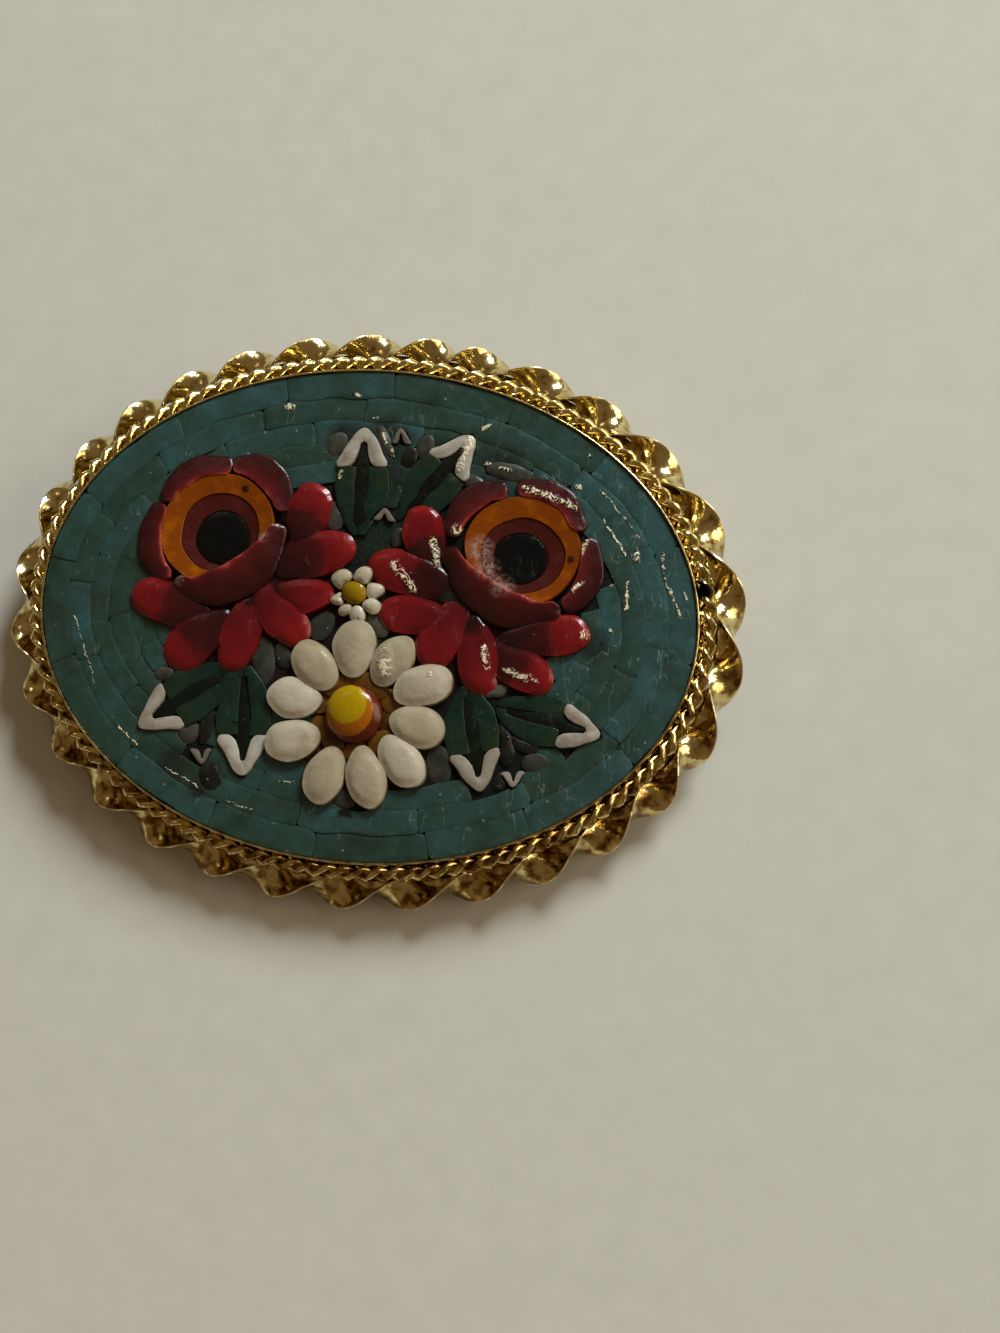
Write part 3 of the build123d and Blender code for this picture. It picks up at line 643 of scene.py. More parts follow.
def bench_copy(name, packed, crumb=0.05):
    """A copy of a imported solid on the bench, its doubles and its crumbs of edges merged."""
    piece = bpy.data.objects.new(name, frame["nodes"][packed].data.copy())
    bpy.context.collection.objects.link(piece)
    piece.data.materials.clear()
    piece.data.transform(to_bench)
    edit(piece)
    bpy.ops.mesh.select_all(action="SELECT")
    bpy.ops.mesh.remove_doubles(threshold=crumb)
    bpy.ops.mesh.dissolve_limited(angle_limit=radians(2))
    done()
    return piece


def apply_modifier(piece, kind, **settings):
    """Add a modifier, set it up, and make its result the mesh."""
    only(piece)
    bpy.ops.object.modifier_add(type=kind)
    modifier = piece.modifiers[-1]
    for name, value in settings.items():
        setattr(modifier, name, value)
    bpy.ops.object.modifier_apply(modifier=modifier.name)


def joined(name, pieces):
    """Several pieces as one."""
    only(pieces[0])
    for piece in pieces[1:]:
        piece.select_set(True)
    if len(pieces) > 1:
        bpy.ops.object.join()
    pieces[0].name = name
    return pieces[0]


def loose_stones(mesh):
    """The vertices of each loose stone of a mesh, the leftmost stone first."""
    home = list(range(len(mesh.vertices)))

    def root(vertex):
        while home[vertex] != vertex:
            home[vertex] = home[home[vertex]]
            vertex = home[vertex]
        return vertex

    for edge in mesh.edges:
        one, two = edge.vertices
        home[root(one)] = root(two)
    groups = {}
    for vertex in range(len(home)):
        groups.setdefault(root(vertex), []).append(vertex)
    return sorted(groups.values(), key=lambda group: min(mesh.vertices[v].co.x for v in group))


def give(piece, name, values):
    """Store one number for each vertex, for the piece's material to read."""
    made = piece.data.attributes.new(name, "FLOAT", "POINT")
    made.data.foreach_set("value", values)


def lay(piece, material, slot, *packed):
    """Put a finished piece in its place on the brooch and hide the imported parts that it stands for."""
    piece.data.transform(to_row)
    piece.data.materials.append(material)
    only(piece)
    bpy.ops.object.shade_smooth_by_angle(angle=radians(40))
    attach(piece, "root")
    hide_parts(*packed)
    piece.data.calc_loop_triangles()
    print(piece.name, len(piece.data.loop_triangles), "triangles")


# %% [markdown]
# ## Hand-set stones
# No two stones stand quite alike: each leans a little and stands a little high or low, which is
# what makes a real mosaic catch the light in patches. The stones also nearly touch, so their
# sides are pushed out until only a hairline of cement shows.

# %% Hand-set stones
half_length = 18.0          # of the mosaic's oval
half_width = 13.2
ground_level = -0.12        # the tops of the ground stones, below the bezel's edge
seat_level = -1.02          # the undersides of all the stones
upper_level = seat_level + 0.4      # what lies above this belongs to a stone's top
hairline = 0.066            # how far each side is pushed out to close the joints
side_rise = 0.3             # a face whose normal rises less than this is a side
sharp_turn = 0.5            # radians; an edge that turns more is a corner or a rim
tone_rise = 10              # millimetres up the bench over which a drifting tone gets lighter


def swell(piece, by):
    """Push the upright sides of every stone outwards."""
    edit(piece)
    pick(piece, "FACE", lambda face: abs(face.normal.z) < side_rise)
    bpy.ops.transform.shrink_fatten(value=by, use_even_offset=True)
    done()


def is_corner(edge):
    """Is this an upright edge where a stone's outline turns sharply?"""
    run = edge.verts[0].co - edge.verts[1].co
    upright = abs(run.z) > 0.5 * run.length
    return upright and len(edge.link_faces) == 2 and edge.calc_face_angle() > sharp_turn


def is_rim(edge):
    """Is this an edge between a stone's top and its side?"""
    high = min(v.co.z for v in edge.verts) > upper_level
    return high and len(edge.link_faces) == 2 and edge.calc_face_angle() > sharp_turn


def ease(piece, corner, rim):
    """Round the outline's corners and then the rim of every stone."""
    edit(piece)
    if corner:
        pick(piece, "EDGE", is_corner)
        bpy.ops.mesh.bevel(offset=corner, segments=2, clamp_overlap=False)
    pick(piece, "EDGE", is_rim)
    bpy.ops.mesh.bevel(offset=rim, segments=2, clamp_overlap=False)
    done()


def set_by_hand(piece, lean, lift, seed, drift=0.0):
    """Lean and lift the top of each stone, and give each its tone, lighter to the top right."""
    draw = random.Random(seed)
    mesh = piece.data
    tones = np.zeros(len(mesh.vertices))
    for stone in loose_stones(mesh):
        middle = sum((mesh.vertices[v].co for v in stone), Vector()) / len(stone)
        slope = Vector((draw.uniform(-lean, lean), draw.uniform(-lean, lean), 0))
        rise = draw.uniform(-lift, lift)
        up_right = (middle.x / half_length + middle.y / tone_rise) / 2
        tones[stone] = draw.random() * (1 - drift) + (0.5 + 0.5 * up_right) * drift
        for v in stone:
            place = mesh.vertices[v].co
            if place.z > upper_level:
                place.z += rise + slope.dot(place - middle)
    give(piece, "tone", tones)


# %% [markdown]
# A nipped stone has no straight edge and no flat face. The plain stones of the ground and the
# leaves are cut through every half millimetre, which changes no shape but gives them places to
# bend. All the points of a piece are then moved by one smooth field, so neighbours move together,
# and the joint between them wanders and stays narrow.

# %% Crooked edges
bend_seed = 7               # without one, the field of bends would differ from run to run
oval_share = 0.998          # the stones are kept inside this share of the oval
nipped_turn = 0.9           # radians; a corner that turns less than this isn't nipped

noise.seed_set(bend_seed)


def cut_through(piece, spacing):
    """Cut a piece by upright planes both ways, without taking anything away."""
    edit(piece)
    for axis, half in ((0, half_length), (1, half_width)):
        way = [0, 0, 0]
        way[axis] = 1
        for k in range(-int(half / spacing), int(half / spacing) + 1):
            bpy.ops.mesh.select_all(action="SELECT")
            bpy.ops.mesh.bisect(plane_co=[w * k * spacing for w in way], plane_no=way)
    done()


def crook(piece, run, reach, lift=0.0):
    """Let edges wander sideways by the reach and tops by the lift, in bends as long as the run."""
    for v in piece.data.vertices:
        field = noise.noise_vector(Vector((v.co.x, v.co.y, 0)) / run)
        v.co.x += reach * field.x
        v.co.y += reach * field.y
        if v.co.z > upper_level:
            v.co.z += lift * field.z
        past = hypot(v.co.x / half_length, v.co.y / half_width)
        if past > oval_share:
            v.co.x *= oval_share / past
            v.co.y *= oval_share / past


def nip_corners(piece, sizes, seed):
    """Nip the upright corners: rows of how much, and of what share of the corners."""
    draw = random.Random(seed)

    def has_room(edge, size):
        beside = [e for v in edge.verts for e in v.link_edges if e is not edge]
        return min(e.calc_length() for e in beside) > 2 * size

    for size, share in sizes:
        edit(piece)
        pick(piece, "EDGE", lambda edge: (is_corner(edge) and edge.calc_face_angle() > nipped_turn
                                          and has_room(edge, size) and draw.random() < share))
        bpy.ops.mesh.bevel(offset=size, segments=2, clamp_overlap=False)
        done()


# %% [markdown]
# The teal ground is 76 long stones in rows that follow the oval. They could be drawn one by one,
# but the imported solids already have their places, so a copy of those is closed up, nipped at the
# corners, cut through and bent.

# %% The teal ground
cut_spacing = 0.5           # millimetres

ground = bench_copy("teal_ground", "ground_stones")
swell(ground, hairline)
nip_corners(ground, [(0.28, 0.25), (0.15, 0.4), (0.06, 1.0)], seed=8)
cut_through(ground, cut_spacing)
crook(ground, run=1.6, reach=0.16, lift=0.03)
ease(ground, corner=0, rim=0.012)
set_by_hand(ground, lean=0.008, lift=0.02, seed=4, drift=0.45)
lay(ground, teal, "teal_glass", "ground_stones")

# %% [markdown]
# ## Stones with curved outlines
# Petals and pebbles were nipped and ground round. Each one's outline is drawn as a smooth curve
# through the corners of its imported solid, filled, and raised in rings to its dome.

# %% Curved outlines and domes
def undersides(packed, crumb=0.12):
    """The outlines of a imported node's stones as lists of places on the bench."""
    piece = bench_copy("outline", packed, crumb)
    outlines = []
    for face in piece.data.polygons:
        if face.normal.z < -0.9 and face.area > 0.1:
            outlines.append([piece.data.vertices[v].co.copy() for v in face.vertices][::-1])
    bpy.data.objects.remove(piece)
    return sorted(outlines, key=lambda outline: min(place.x for place in outline))


def without_hollows(outline):
    """The same outline with a string pulled tight round it."""
    places = sorted((place.x, place.y) for place in outline)
    sides = []
    for run in (places, places[::-1]):
        side = []
        for x, y in run:
            while len(side) > 1:
                (x0, y0), (x1, y1) = side[-2:]
                if (x1 - x0) * (y - y0) - (y1 - y0) * (x - x0) > 0:
                    break
                side.pop()
            side.append((x, y))
        sides += side[:-1]
    return [Vector((x, y, seat_level)) for x, y in sides]


def filled_outline(name, outline, steps=4):
    """A flat face at the stones' seat whose edge is a smooth curve through the outline."""
    curve = bpy.data.curves.new(name, "CURVE")
    curve.resolution_u = steps
    spline = curve.splines.new("BEZIER")
    spline.bezier_points.add(len(outline) - 1)
    for point, place in zip(spline.bezier_points, outline):
        point.co = (place[0], place[1], seat_level)
        point.handle_left_type = point.handle_right_type = "AUTO"
    spline.use_cyclic_u = True
    piece = bpy.data.objects.new(name, curve)
    bpy.context.collection.objects.link(piece)
    only(piece)
    bpy.ops.object.convert(target="MESH")
    edit(piece)
    bpy.ops.mesh.select_all(action="SELECT")
    bpy.ops.mesh.edge_face_add()
    done()
    return piece


def domed_stone(name, outline, rings, swelling=0.0, drift=(0, 0)):
    """A stone raised ring by ring: rows of height above the ground and share of the outline."""
    piece = filled_outline(name, outline)
    middle = sum((v.co for v in piece.data.vertices), Vector()) / len(piece.data.vertices)
    edit(piece)
    bpy.ops.mesh.select_all(action="SELECT")
    level, share = seat_level, 1.0
    for height, wanted in rings:
        rise = ground_level + height - level
        aside = (drift[0] * rise, drift[1] * rise) if share < 1 else (0, 0)
        bpy.ops.mesh.extrude_region_move(TRANSFORM_OT_translate={"value": (*aside, rise)})
        scale = wanted / share
        bpy.ops.transform.resize(value=(scale, scale, 1), center_override=middle)
        level, share = level + rise, wanted
    bpy.ops.mesh.select_all(action="SELECT")
    bpy.ops.mesh.normals_make_consistent(inside=False)
    done()
    if swelling:
        swell(piece, swelling)
    return piece


ring_crowding = 1.6         # above 1, a dome's rings crowd towards its edge
ring_span = 0.9             # how much of the way to the middle the last ring lies


def rounded_rings(edge, top, rows=7, power=2.4):
    """Rings of a dome: an upright side up to the edge, then a round shoulder up to the top."""
    rings = [(edge, 1.0)]
    for k in range(1, rows + 1):
        share = 1 - (k / rows) ** ring_crowding * ring_span
        rings.append((edge + (top - edge) * (1 - share ** power) ** (1 / power), share))
    return rings


# %% [markdown]
# The large daisy has ten white pebbles round a domed heart, with amber chunks between. A petal
# made by the dome alone is an even egg, so each is drawn in towards the heart and bent a little.

# %% The large daisy
daisy_middle = Vector((0.3, -5.1))
petal_taper = 0.10          # how much narrower a petal's inner end is made
petal_stretch = 0.15        # millimetres that the inner end runs on towards the heart


def taper_petal(petal):
    """Draw a petal in towards its inner end."""
    places = [v.co.to_2d() - daisy_middle for v in petal.data.vertices]
    way = sum(places, Vector((0, 0))).normalized()
    side = Vector((-way.y, way.x))
    outs = [place.dot(way) for place in places]
    low, high = min(outs), max(outs)
    for v, place, out in zip(petal.data.vertices, places, outs):
        inner = (high - out) / (high - low)
        narrower = 1 - petal_taper * inner ** 2
        moved = way * (out - petal_stretch * inner) + side * place.dot(side) * narrower
        v.co.x, v.co.y = daisy_middle + moved


for number in range(1, 11):
    packed = f"daisy_petal_{number}"
    outline = undersides(packed)[0]
    rings = rounded_rings(0.14, 0.58, power=2.8)
    petal = domed_stone(packed + "_glass", outline, rings, swelling=0.13)
    taper_petal(petal)
    crook(petal, run=1.4, reach=0.14, lift=0.05)
    set_by_hand(petal, lean=0.03, lift=0.02, seed=number)
    lay(petal, white, "white_glass", packed)

heart = domed_stone("daisy_heart_glass", undersides("daisy_heart")[0],
                    rounded_rings(0.22, 0.95, rows=10, power=2.2), 0.04, drift=(-0.25, 0.35))
set_by_hand(heart, lean=0, lift=0, seed=1)
lay(heart, heart_glass, "yellow_glass", "daisy_heart")

chunks = bench_copy("amber_chunks", "amber_stones")
swell(chunks, 0.20)
ease(chunks, corner=0.08, rim=0.05)
set_by_hand(chunks, lean=0.12, lift=0.05, seed=3)
lay(chunks, amber, "amber_glass", "amber_stones")

# %% [markdown]
# The small daisy and the grey and slate pebbles are small round stones of one kind. One table
# gives each field its glass, its heights and how far its stones swell, and one loop makes them.

# %% The small daisy, the grey pebbles and the slate pebbles
pebbles = [
    # piece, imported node, material, slot, height of the edge and of the top, swelling
    ("small_daisy_petals_glass", "small_daisy_petals", white, "white_glass", 0.18, 0.44, 0.05),
    ("small_daisy_heart_glass", "small_daisy_heart", flower_yellow, "yellow_glass", 0.22, 0.60, 0.04),
    ("grey_pebbles", "grey_stones", grey, "grey_glass", 0.0, 0.09, 0.06),
    ("slate_pebbles", "dark_stones", slate, "grey_glass", 0.0, 0.09, 0.06),
]
for name, packed, material, slot, edge, top, swelling in pebbles:
    rings = rounded_rings(edge, top, rows=5)
    stones = [domed_stone(name, outline, rings, swelling) for outline in undersides(packed)]
    stone = joined(name, stones)
    crook(stone, run=0.9, reach=0.12, lift=0.03)
    set_by_hand(stone, lean=0.05, lift=0.02, seed=len(packed))
    lay(stone, material, slot, packed)

# %% [markdown]
# ## Roses
# A rose is an eye in two rings of cane, held below by a tall lip and above by three bent petals,
# with seven red petals fanned out under the lip. The fan's petals are given the way they point,
# so that the root and the tip of each can be coloured.

# %% The fan of red petals
fan_petals = {
    # the way each petal points in degrees, and the share of its length that is maroon
    "left": [(167, 0.60), (227, 0.60), (258, 0.15), (-41, 0.12), (8, 0.20), (20, 0.62), (84, 0.58)],
    "right": [(108, 0.50), (167, 0.48), (176, 0.10), (248, 0.12), (284, 0.22), (-24, 0.60), (8, 0.55)],
}
root_stretch = 0.80         # millimetres that a root runs on under the lip
root_sink = 0.22            # and how much lower it lies than the petal's crown

for side, rows in fan_petals.items():
    for number, (turn, share) in enumerate(rows, 1):
        packed = f"{side}_rose_red_petal_{number}"
        outline = without_hollows(undersides(packed)[0])
        rings = rounded_rings(0.10, 0.40, power=3.0)
        petal = domed_stone(packed + "_glass", outline, rings, swelling=0.12)
        way = Vector((cos(radians(turn)), sin(radians(turn)), 0))
        root = min(outline, key=way.dot)
        away = np.array([hypot(v.co.x - root.x, v.co.y - root.y) for v in petal.data.vertices])
        away /= away.max()
        for v, share_out in zip(petal.data.vertices, away):
            v.co -= way * root_stretch * (1 - share_out) ** 1.5
            if v.co.z > upper_level:
                v.co.z -= root_sink * (1 - share_out) ** 2
        crook(petal, run=1.2, reach=0.14, lift=0.06)
        give(petal, "reach", away)
        give(petal, "core", np.full(len(away), share))
        set_by_hand(petal, lean=0.04, lift=0.03, seed=number)
        lay(petal, red, "red_glass", packed)

# %% [markdown]
# The eye and its rings are slices of oval cane, cut off where the lip stands. The eye is one low
# dome. A ring is a grid whose rows are laid on ovals from its outer edge to its inner one. A boolean
# takes away what the lip covers. The rings dip towards the eye.

# %% The eyes and their rings
ring_gap = 0.05             # between one ring and the next
ring_steps = 96
eye_points = 24
cutter_depth = 0.5          # how far the lip's cutter reaches below the stones' seat
cutter_height = 2.0         # and above it
rose_ovals = {
    # for each rose, x, y, length, width and turn of the eye and of the rings' outer edges
    "left": [(-8.15, 3.42, 3.00, 2.95, 0), (-8.34, 3.70, 4.35, 4.20, 20), (-8.54, 3.88, 6.35, 5.90, 25)],
    "right": [(8.30, 3.66, 2.90, 2.66, 0), (8.40, 3.82, 4.50, 3.90, 0), (8.36, 4.08, 6.20, 5.70, -15)],
}
eye_rings = [(0.0, 1.0), (0.03, 0.97), (0.02, 0.70)]
ring_parts = [
    # part, material, slot, height at the outer edge and at the inner edge
    ("eye", black, "black_glass", 0.03, 0.0),
    ("maroon_ring", maroon, "maroon_glass", 0.14, 0.05),
    ("orange_ring", orange, "orange_glass", 0.32, 0.20),
]
ring_section = [
    # share of the way inwards, share of the height up to the top
    (0.0, 0.0), (0.0, 0.97), (0.03, 1.0), (0.5, 1.0), (0.97, 1.0), (1.0, 0.97), (1.0, 0.0), (0.0, 0.0),
]


def on_cane(row, turn, grow=0.0):
    """A place on the edge of a slice of cane."""
    x, y, length, width, tilted = row
    along, across = (length / 2 + grow) * cos(turn), (width / 2 + grow) * sin(turn)
    return Vector((x, y, 0)) + Matrix.Rotation(radians(tilted), 3, "Z") @ Vector((along, across, 0))


def raised(name, outline, depth, height):
    """A block on a curved outline, from some depth under the stones' seat."""
    piece = filled_outline(name, outline)
    piece.data.transform(Matrix.Translation((0, 0, -depth)))
    edit(piece)
    bpy.ops.mesh.select_all(action="SELECT")
    bpy.ops.mesh.extrude_region_move(TRANSFORM_OT_translate={"value": (0, 0, depth + height)})
    bpy.ops.mesh.select_all(action="SELECT")
    bpy.ops.mesh.normals_make_consistent(inside=False)
    done()
    return piece


def keep_largest(piece):
    """Delete every loose part but the largest."""
    largest = set(max(loose_stones(piece.data), key=len))
    edit(piece)
    bpy.ops.mesh.select_mode(type="VERT")
    bpy.ops.mesh.select_all(action="DESELECT")
    mesh = bmesh.from_edit_mesh(piece.data)
    for v in mesh.verts:
        if v.index not in largest:
            v.select_set(True)
    bmesh.update_edit_mesh(piece.data)
    bpy.ops.mesh.delete(type="VERT")
    done()


def cane_ring(name, around, within, outer, inner):
    """A slice of cane between two ovals, its top running from one height to another."""
    last_row = len(ring_section) - 1
    bpy.ops.mesh.primitive_grid_add(x_subdivisions=ring_steps, y_subdivisions=last_row, size=2)
    ring = bpy.context.object
    ring.name = name
    for v in ring.data.vertices:
        turn = (v.co.x + 1) * pi
        share, rise = ring_section[round((v.co.y + 1) / 2 * last_row)]
        v.co = on_cane(around, turn, ring_gap / 2).lerp(on_cane(within, turn, ring_gap), share)
        top = ground_level + outer + (inner - outer) * share
        v.co.z = seat_level + (top - seat_level) * rise
    edit(ring)
    bpy.ops.mesh.select_all(action="SELECT")
    bpy.ops.mesh.remove_doubles(threshold=0.005)
    bpy.ops.mesh.normals_make_consistent(inside=False)
    done()
    return ring


for side, ovals in rose_ovals.items():
    lip_outline = undersides(f"{side}_rose_lip", crumb=0.2)[0]
    for number, (part, material, slot, outer, inner) in enumerate(ring_parts):
        name = f"{side}_rose_{part}_glass"
        if part == "eye":
            outline = [on_cane(ovals[0], 2 * pi * k / eye_points, ring_gap / 2)
                       for k in range(eye_points)]
            ring = domed_stone(name, outline, eye_rings)
        else:
            ring = cane_ring(name, ovals[number], ovals[number - 1], outer, inner)
        cutter = raised("cutter", lip_outline, cutter_depth, cutter_height)
        apply_modifier(ring, "BOOLEAN", operation="DIFFERENCE", object=cutter, solver="EXACT")
        bpy.data.objects.remove(cutter)
        keep_largest(ring)
        crook(ring, run=1.5, reach=0.10, lift=0.03)
        set_by_hand(ring, lean=0, lift=0, seed=2)
        lay(ring, material, slot, f"{side}_rose_{part}")

# %% [markdown]
# The lips and the bent petals are ground from thicker glass. Their edges are melted round by
# remeshing them into small even faces and smoothing those, and their tops are then sloped, so
# that they rise towards the eye.

# %% Lips and bent petals
melt_height = 1.4           # millimetres, before the top is sloped
melt_grain = 0.07
melt_rounds = 8             # of smoothing
slope_power = 0.8           # below 1, the top rises quickly at first and then levels off


def melt(name, packed, swelling):
    """A stone with soft edges on a solid's outline, as glass gets from the flame or the wheel."""
    piece = raised(name, undersides(packed, crumb=0.25)[0], 0.0, melt_height)
    swell(piece, swelling)
    apply_modifier(piece, "REMESH", mode="VOXEL", voxel_size=melt_grain)
    apply_modifier(piece, "SMOOTH", factor=0.5, iterations=melt_rounds)
    return piece


def inward_share(piece, middle):
    """For each vertex, 0 at the side that faces away from the rose's middle and 1 at the other."""
    near, far = [], []
    for v in piece.data.vertices:
        way = (middle - v.co).to_2d()
        flat = v.normal.to_2d()
        if abs(v.normal.z) < 0.5 and way.length > 0 and flat.length > 0:
            facing = flat.normalized().dot(way.normalized())
            if facing > 0.5:
                near.append(v.co.to_2d())
            elif facing < -0.5:
                far.append(v.co.to_2d())
    shares = np.ones(len(piece.data.vertices))
    if not near or not far:
        return shares
    trees = []
    for side in (near, far):
        tree = KDTree(len(side))
        for k, place in enumerate(side):
            tree.insert((place.x, place.y, 0), k)
        tree.balance()
        trees.append(tree)
    for k, v in enumerate(piece.data.vertices):
        place = (v.co.x, v.co.y, 0)
        inner, outer = (tree.find(place)[2] for tree in trees)
        shares[k] = outer / (inner + outer) if inner + outer > 0 else 1.0
    return shares


def slope(piece, shares, outer, inner):
    """Scale each column of a piece so that its top runs from one height to another."""
    top = max(v.co.z for v in piece.data.vertices)
    for v, share in zip(piece.data.vertices, shares):
        height = ground_level + outer + (inner - outer) * share ** slope_power
        v.co.z = seat_level + (v.co.z - seat_level) * (height - seat_level) / (top - seat_level)


melted_parts = [
    # part, swelling, height at the outer side and at the inner side
    ("outer_petal_1", 0.14, 0.18, 0.40),
    ("outer_petal_2", 0.14, 0.18, 0.40),
    ("outer_petal_3", 0.14, 0.18, 0.40),
    ("lip", 0.08, 0.24, 0.66),
]
for side, ovals in rose_ovals.items():
    eye_x, eye_y = ovals[0][:2]
    for part, swelling, outer, inner in melted_parts:
        packed = f"{side}_rose_{part}"
        piece = melt(packed + "_glass", packed, swelling)
        shares = inward_share(piece, Vector((eye_x, eye_y, 0)))
        slope(piece, shares, outer, inner)
        crook(piece, run=1.2, reach=0.12, lift=0.04)
        give(piece, "inward", shares)
        set_by_hand(piece, lean=0, lift=0, seed=2)
        lay(piece, lip_red, "maroon_glass", packed)

# %% [markdown]
# ## Leaves
# A leaf is two green halves with a black rib between them and a white V at the tip. The V is bent
# from a thin white rod, and the rib's end fills it. All leaves have one form, so the V and the rib
# are drawn once, as shares along and across a leaf, and laid on each leaf's own line.

# %% Leaves
leaves = [
    # x, y of the base, x, y of the tip, width
    (-0.62, 4.25, -1.05, 10.10, 2.90), (1.62, 5.15, 4.95, 10.05, 2.85),
    (-6.75, -3.65, -11.45, -7.25, 2.95), (-5.95, -3.50, -5.35, -9.30, 2.95),
    (6.15, -3.35, 7.60, -8.78, 2.85), (7.95, -4.30, 13.55, -5.22, 2.55),
]
small_leaves = [
    (1.22, 7.95, 1.02, 10.15, 1.12), (0.62, 3.85, 0.62, 5.78, 1.25),
    (-7.95, -6.55, -7.70, -8.92, 1.25), (9.15, -6.15, 9.28, -8.40, 1.25),
]
# places along a leaf and across its half width
v_shape = [
    (0.64, 0.93), (0.76, 0.75), (0.88, 0.48), (0.96, 0.26), (1.0, 0.0),
    (0.96, -0.26), (0.88, -0.48), (0.76, -0.75), (0.64, -0.93),
    (0.625, -0.70), (0.64, -0.44), (0.75, -0.20), (0.86, 0.0),
    (0.75, 0.20), (0.64, 0.44), (0.625, 0.70),
]
rib_shape = [
    (0.09, 0.10), (0.28, 0.20), (0.45, 0.26), (0.63, 0.30), (0.72, 0.22), (0.79, 0.10), (0.85, 0.0),
    (0.79, -0.10), (0.72, -0.22), (0.63, -0.30), (0.45, -0.26), (0.28, -0.20), (0.09, -0.10),
]


def on_leaf(leaf, shape):
    """Places on the bench from places along and across a leaf."""
    base, tip, half = Vector(leaf[0:2]), Vector(leaf[2:4]), leaf[4] / 2
    along = tip - base
    across = Vector((-along.y, along.x)).normalized() * half
    return [base + along * s + across * q for s, q in shape]


def bent_stones(name, outlines, top, rim):
    """Flat-topped stones from curved outlines, their rims rounded."""
    stones = []
    for outline in outlines:
        stone = filled_outline(name, outline, steps=3)
        edit(stone)
        bpy.ops.mesh.select_all(action="SELECT")
        rise = ground_level + top - seat_level
        bpy.ops.mesh.extrude_region_move(TRANSFORM_OT_translate={"value": (0, 0, rise)})
        bpy.ops.mesh.select_all(action="SELECT")
        bpy.ops.mesh.normals_make_consistent(inside=False)
        done()
        stones.append(stone)
    whole = joined(name, stones)
    crook(whole, run=1.0, reach=0.12, lift=0.03)
    ease(whole, corner=0, rim=rim)
    return whole


tips = bent_stones("leaf_tips_glass", [on_leaf(leaf, v_shape) for leaf in leaves], 0.18, 0.08)
set_by_hand(tips, lean=0.03, lift=0.02, seed=1)
lay(tips, tip_white, "white_glass", "leaf_tips")
small_tips = bent_stones("small_leaf_tips_glass", [on_leaf(leaf, v_shape) for leaf in small_leaves],
                         0.14, 0.04)
set_by_hand(small_tips, lean=0.03, lift=0.02, seed=2)
lay(small_tips, tip_tan, "white_glass", "small_leaf_tips")
ribs = bent_stones("leaf_ribs_glass", [on_leaf(leaf, rib_shape) for leaf in leaves], 0.08, 0.03)
set_by_hand(ribs, lean=0.02, lift=0.02, seed=3)
lay(ribs, rib, "rib_glass", "leaf_ribs")

for number, leaf in enumerate(leaves, 1):
    packed = f"leaf_{number}"
    blade = bench_copy(packed + "_glass", packed)
    swell(blade, 0.06)
    nip_corners(blade, [(0.10, 1.0)], seed=number)
    cut_through(blade, cut_spacing)
    crook(blade, run=1.4, reach=0.14, lift=0.03)
    ease(blade, corner=0, rim=0.03)
    base, tip = Vector(leaf[0:2]), Vector(leaf[2:4])
    away = np.array([(v.co.to_2d() - base).length for v in blade.data.vertices])
    give(blade, "reach", away / (tip - base).length)
    set_by_hand(blade, lean=0.03, lift=0.02, seed=number)
    lay(blade, green, "green_glass", packed)

# %% [markdown]
# ## The setting
# The cup, the rope and the twisted strip are soldered into one piece of metal. Each is made
# straight first, twisted where it has to be, and then bent round the oval. A curve modifier could
# bend them, but the lobes of the strip stand unevenly, so the turns are read from a table instead.

# %% Bending round the oval
# where the strip lies flat and reaches furthest out, in degrees round the oval
strip_bumps = [
    10.5, 25.5, 40.5, 53, 64.5, 76.5, 84, 94, 104.5, 115.5, 126, 137, 148.5, 160.5, 174,
    188, 200.5, 213.5, 226, 238, 249, 260, 271.5, 282.5, 294, 305, 317, 329, 341, 355.5,
]


def on_oval(turn, out, height):
    """Places beside the mosaic's edge: turns round it in radians, how far out, and how high."""
    across, up = np.cos(turn) / half_length, np.sin(turn) / half_width
    run = np.hypot(across, up)
    x = half_length * np.cos(turn) + out * across / run
    y = half_width * np.sin(turn) + out * up / run
    return np.stack([x, y, height], axis=1)


def bend_round(piece, places, turns):
    """Bend a straight piece round the oval: places along its X come to these turns."""
    mesh = piece.data
    flat = np.empty(len(mesh.vertices) * 3)
    mesh.vertices.foreach_get("co", flat)
    flat = flat.reshape(-1, 3)
    turn = np.interp(flat[:, 0], places, turns)
    mesh.vertices.foreach_set("co", on_oval(turn, flat[:, 1], flat[:, 2]).ravel())
    edit(piece)
    bpy.ops.mesh.select_all(action="SELECT")
    bpy.ops.mesh.remove_doubles(threshold=0.01)
    bpy.ops.mesh.normals_make_consistent(inside=False)
    done()


# equal steps along the rope's middle line, for what is spaced evenly round it
rope_out = 0.56
fine_turns = np.radians(np.arange(361))
edge_points = on_oval(fine_turns, rope_out, np.zeros(361))
edge_runs = np.concatenate([[0], np.cumsum(np.linalg.norm(np.diff(edge_points, axis=0), axis=1))])
rope_length = float(edge_runs[-1])
print(f"the rope is {rope_length:.1f} mm long")

# %% [markdown]
# The rope is two thin wires twisted together. Two circles side by side are swept along a screw,
# which is how the wires themselves were turned, and the straight rope is bent round the cup.

# %% The rope
wire_diameter = 0.50
wire_offset = 0.21          # from the rope's middle to each wire's
rope_turns = 54
rope_drop = 0.66            # from the bezel's edge down to the rope's middle
rope_steps_per_turn = 20

